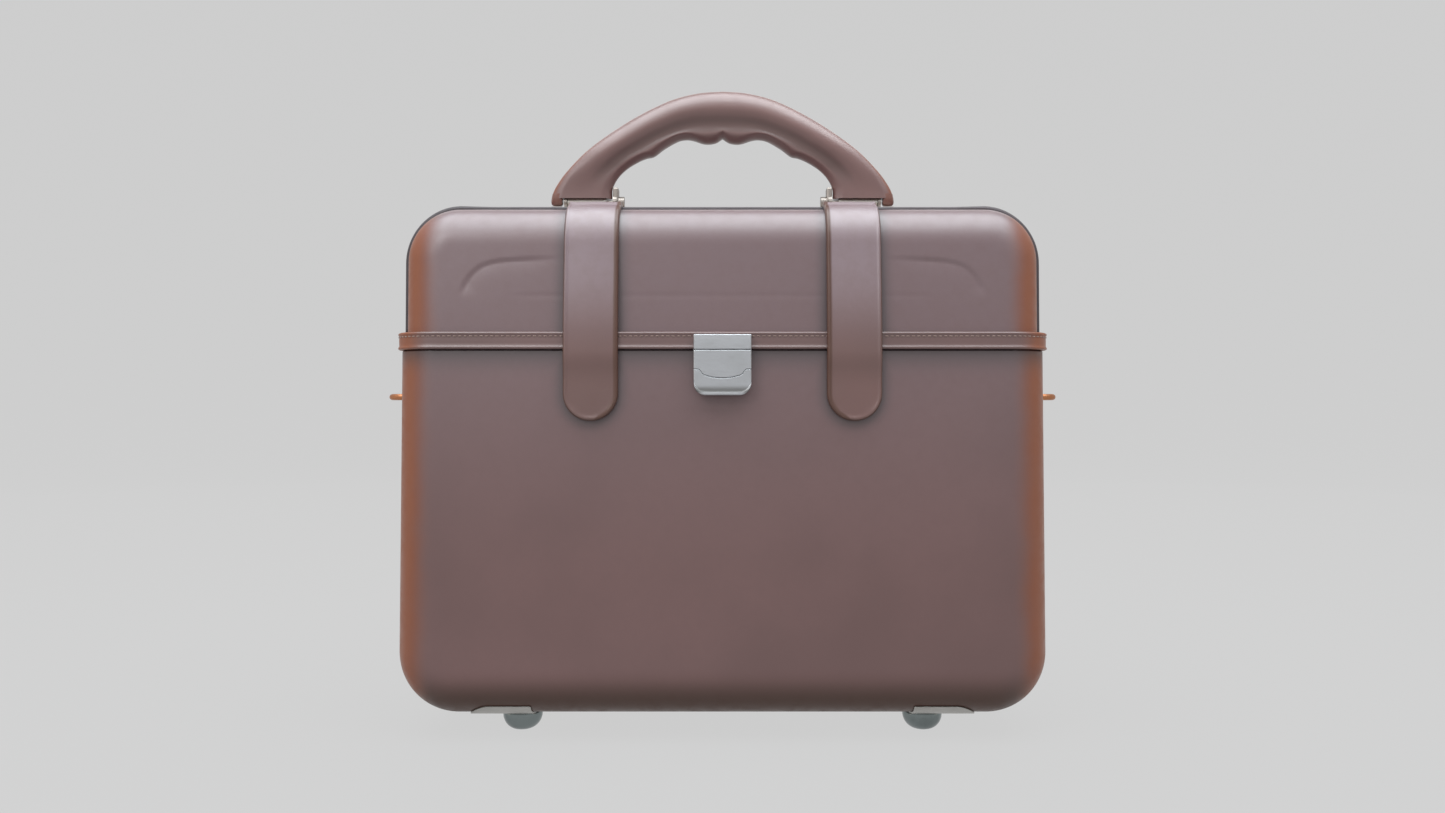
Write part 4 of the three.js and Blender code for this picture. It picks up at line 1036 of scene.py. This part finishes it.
def foot_plate(node, front, side):
    """A thin plate that follows the case's underside over the piping and laps onto its rounding."""
    low_x, high_x, near_y, far_y, corner = 122 * MM, 163 * MM, 15 * MM, 61 * MM, 14 * MM
    flat_y = HALF_DEPTH - EDGE_R
    round_x = high_x - corner
    xs = np.concatenate([[low_x, low_x + 0.4 * MM], spaced((low_x + 3 * MM, 3 * MM), (round_x, 0)),
                         round_x + corner * np.sin(np.linspace(0, math.pi / 2, 14)[1:])])
    rings = []
    for x in xs:
        draw = corner - math.sqrt(max(corner**2 - max(x - round_x, 0) ** 2, 0))
        edge = 0.2 * MM if x in (xs[0], xs[-1]) else 0.0
        ys = np.linspace(near_y + draw + edge, far_y - draw - edge, 40)
        turn = np.arcsin((ys - flat_y).clip(0) / EDGE_R)
        on_block = np.where(ys < flat_y, ys, flat_y + EDGE_R * np.tan(turn))
        spots = [(side * x, front * y, BASE_Z) for y in on_block]
        at_welt = smoothstep(4.9 * MM, 3.4 * MM, np.abs(ys - WELT_Y + 0.8 * MM))
        outer = GAP + 0.9 * MM - edge + 1.1 * MM * at_welt
        outer[[0, -1]] -= 0.35 * MM
        outer[[1, -2]] -= 0.08 * MM
        inner = GAP + 1.4 * MM * at_welt
        rings.append(np.concatenate([case_points(spots, outer), case_points(spots[::-1], inner[::-1])]))
    plate = make_object(f"{node}_cover", *ring_skin(rings))
    sharpen(plate, 40)
    finish_piece(plate, "case", PLATE_METAL, [node])


def side_rings():
    """D-shaped wire rings: a straight side in the bracket, two tight bends and a round bow."""
    inner, reach, half, wire, bend = 214.5 * MM, 13.5 * MM, 12 * MM, 2.1 * MM, 3 * MM
    low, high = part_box("side_ring_right")
    z = (low.z + high.z) / 2
    bow_start = 0.32
    bow = [(inner + reach * math.sin(t) ** 0.8, half * math.cos(t))
           for t in np.linspace(bow_start, math.pi - bow_start, 40)]
    corner = [(inner + bend * (1 - math.sin(t)), half - bend + bend * math.cos(t))
              for t in np.linspace(math.pi / 2, 0.3, 8)]
    straight = [(inner, y) for y in np.linspace(-half + bend, half - bend, 12)]
    line = np.array(straight + corner[1:] + bow + [(x, -y) for x, y in corner[:0:-1]])
    line = even_line(np.concatenate([line, line[:1]]), 97)[:-1]
    turns = np.linspace(0, math.tau, 16, endpoint=False)
    for side, tag in ((-1, "left"), (1, "right")):
        rings = []
        for spot, before, after in zip(line, np.roll(line, 1, axis=0), np.roll(line, -1, axis=0)):
            ahead = (after - before) / np.linalg.norm(after - before)
            xs = spot[0] + ahead[1] * wire * np.cos(turns)
            ys = spot[1] - ahead[0] * wire * np.cos(turns)
            rings.append(list(zip(side * xs, ys, z + wire * np.sin(turns))))
        ring = make_object(f"side_ring_{tag}_wire", *ring_skin(rings, closed=True))
        finish_piece(ring, f"{tag}_ring", RING_METAL, [f"side_ring_{tag}"])


# ---- Small CAD fittings, shown as they are, with eased edges ----

FITTING_LOOKS = {"ring_bracket": RING_METAL, "ring_rivet": RING_METAL, "handle_bracket": BRACKET_METAL,
                 "handle_pin": BRACKET_METAL}
EASED = ("handle_bracket", "handle_pin", "ring_bracket", "hinge_leaf")


def fittings():
    for name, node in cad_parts.items():
        look = next((look for start, look in FITTING_LOOKS.items() if name.startswith(start)), STEEL)
        node.data.materials.clear()
        node.data.materials.append(look)
        if name.startswith(EASED):
            bevel(node, 0.35 * MM, angle=40)
            for polygon in node.data.polygons:
                polygon.use_smooth = True
            sharpen(node, 35)


# ---- Stage, light and camera ----

def glowing_paint(name, albedo, glow):
    """Matt studio paint that also glows a little, as an evenly lit backdrop does."""
    look = Look(name, 0.95, Specular_IOR_Level=0.1, Emission_Color=rgb(1, 1, 1), Emission_Strength=glow)
    tone = look.remap(look.noise(1.2, detail=2), 0.3, 0.7)
    look.set(Base_Color=look.mix(tone, rgb(*[albedo] * 3), rgb(*[albedo * 0.98] * 3)))
    return look.material


def studio_bowl():
    """A pale floor that rises smoothly into walls all round, far from the case."""
    floor, rise, wall, top = 2.4, 1.6, 4.0, 4.5
    profile = [(0.02, 0)] + [(r, 0) for r in (0.5, 1.0, 1.8, floor)]
    profile += [(floor + rise * math.sin(t), rise * (1 - math.cos(t)))
                for t in np.linspace(0, math.pi / 2, 16)[1:]]
    profile.append((wall, top))
    sides = 72
    points, faces = ring_skin([circle((0, 0), r, z, sides) for r, z in profile], caps=False)
    faces.append(tuple(range(sides)))
    bowl = make_object("studio_bowl", points, faces)
    bowl.data.materials.append(glowing_paint("studio_paint", albedo=0.02, glow=0.602))


# Area lights: name, place, target, size across and up, power in watts, colour.
WHITE = (1, 1, 1)
WARM = (1.0, 0.7, 0.45)
LIGHTS = [("top_softbox", (0, -0.27, 1.3), (0, -0.05, 0.3), (1.9, 1.05), 28, (0.91, 0.97, 1.0)),
          ("key", (-0.75, -1.1, 1.05), (0, 0, 0.25), (0.5, 0.5), 4, (1.0, 0.99, 0.98)),
          ("left_warm", (-1.3, -0.3, 0.35), (-0.2, 0, 0.18), (0.4, 0.9), 0.55, WARM),
          ("right_warm", (1.3, -0.3, 0.35), (0.2, 0, 0.18), (0.4, 0.9), 0.35, WARM),
          ("back_rim", (0, 1.6, 1.3), (0, 0, 0.3), (2.0, 0.6), 2.5, WHITE)]


def lights():
    world = bpy.data.worlds.new("studio_air")
    world.use_nodes = True
    air = world.node_tree.nodes["Background"]
    air.inputs["Color"].default_value = rgb(0.8, 0.81, 0.83)
    air.inputs["Strength"].default_value = 0.35
    bpy.context.scene.world = world
    for name, place, target, size, power, colour in LIGHTS:
        data = bpy.data.lights.new(name, "AREA")
        data.shape = "RECTANGLE"
        data.size, data.size_y = size
        data.energy = power
        data.color = colour
        light = bpy.data.objects.new(name, data)
        light.location = place
        light.rotation_euler = (Vector(target) - Vector(place)).to_track_quat("-Z", "Y").to_euler()
        bpy.context.scene.collection.objects.link(light)


def camera():
    """A level camera in front of the case, at about half its height."""
    data = bpy.data.cameras.new("photo_camera")
    data.sensor_width = 36
    data.lens = 26.43
    eye = bpy.data.objects.new("photo_camera", data)
    eye.location = (0, -0.7353, 0.2131)
    eye.rotation_euler = (math.pi / 2, 0, 0)
    bpy.context.scene.collection.objects.link(eye)
    bpy.context.scene.camera = eye
    bpy.context.scene.view_settings.view_transform = "Standard"


fittings()
shells()
linings()
rim_tongue()
band()
welts()
strap(-1, "left")
strap(1, "right")
lock()
handle()
bracket_cheeks()
feet()
side_rings()
studio_bowl()
lights()
camera()
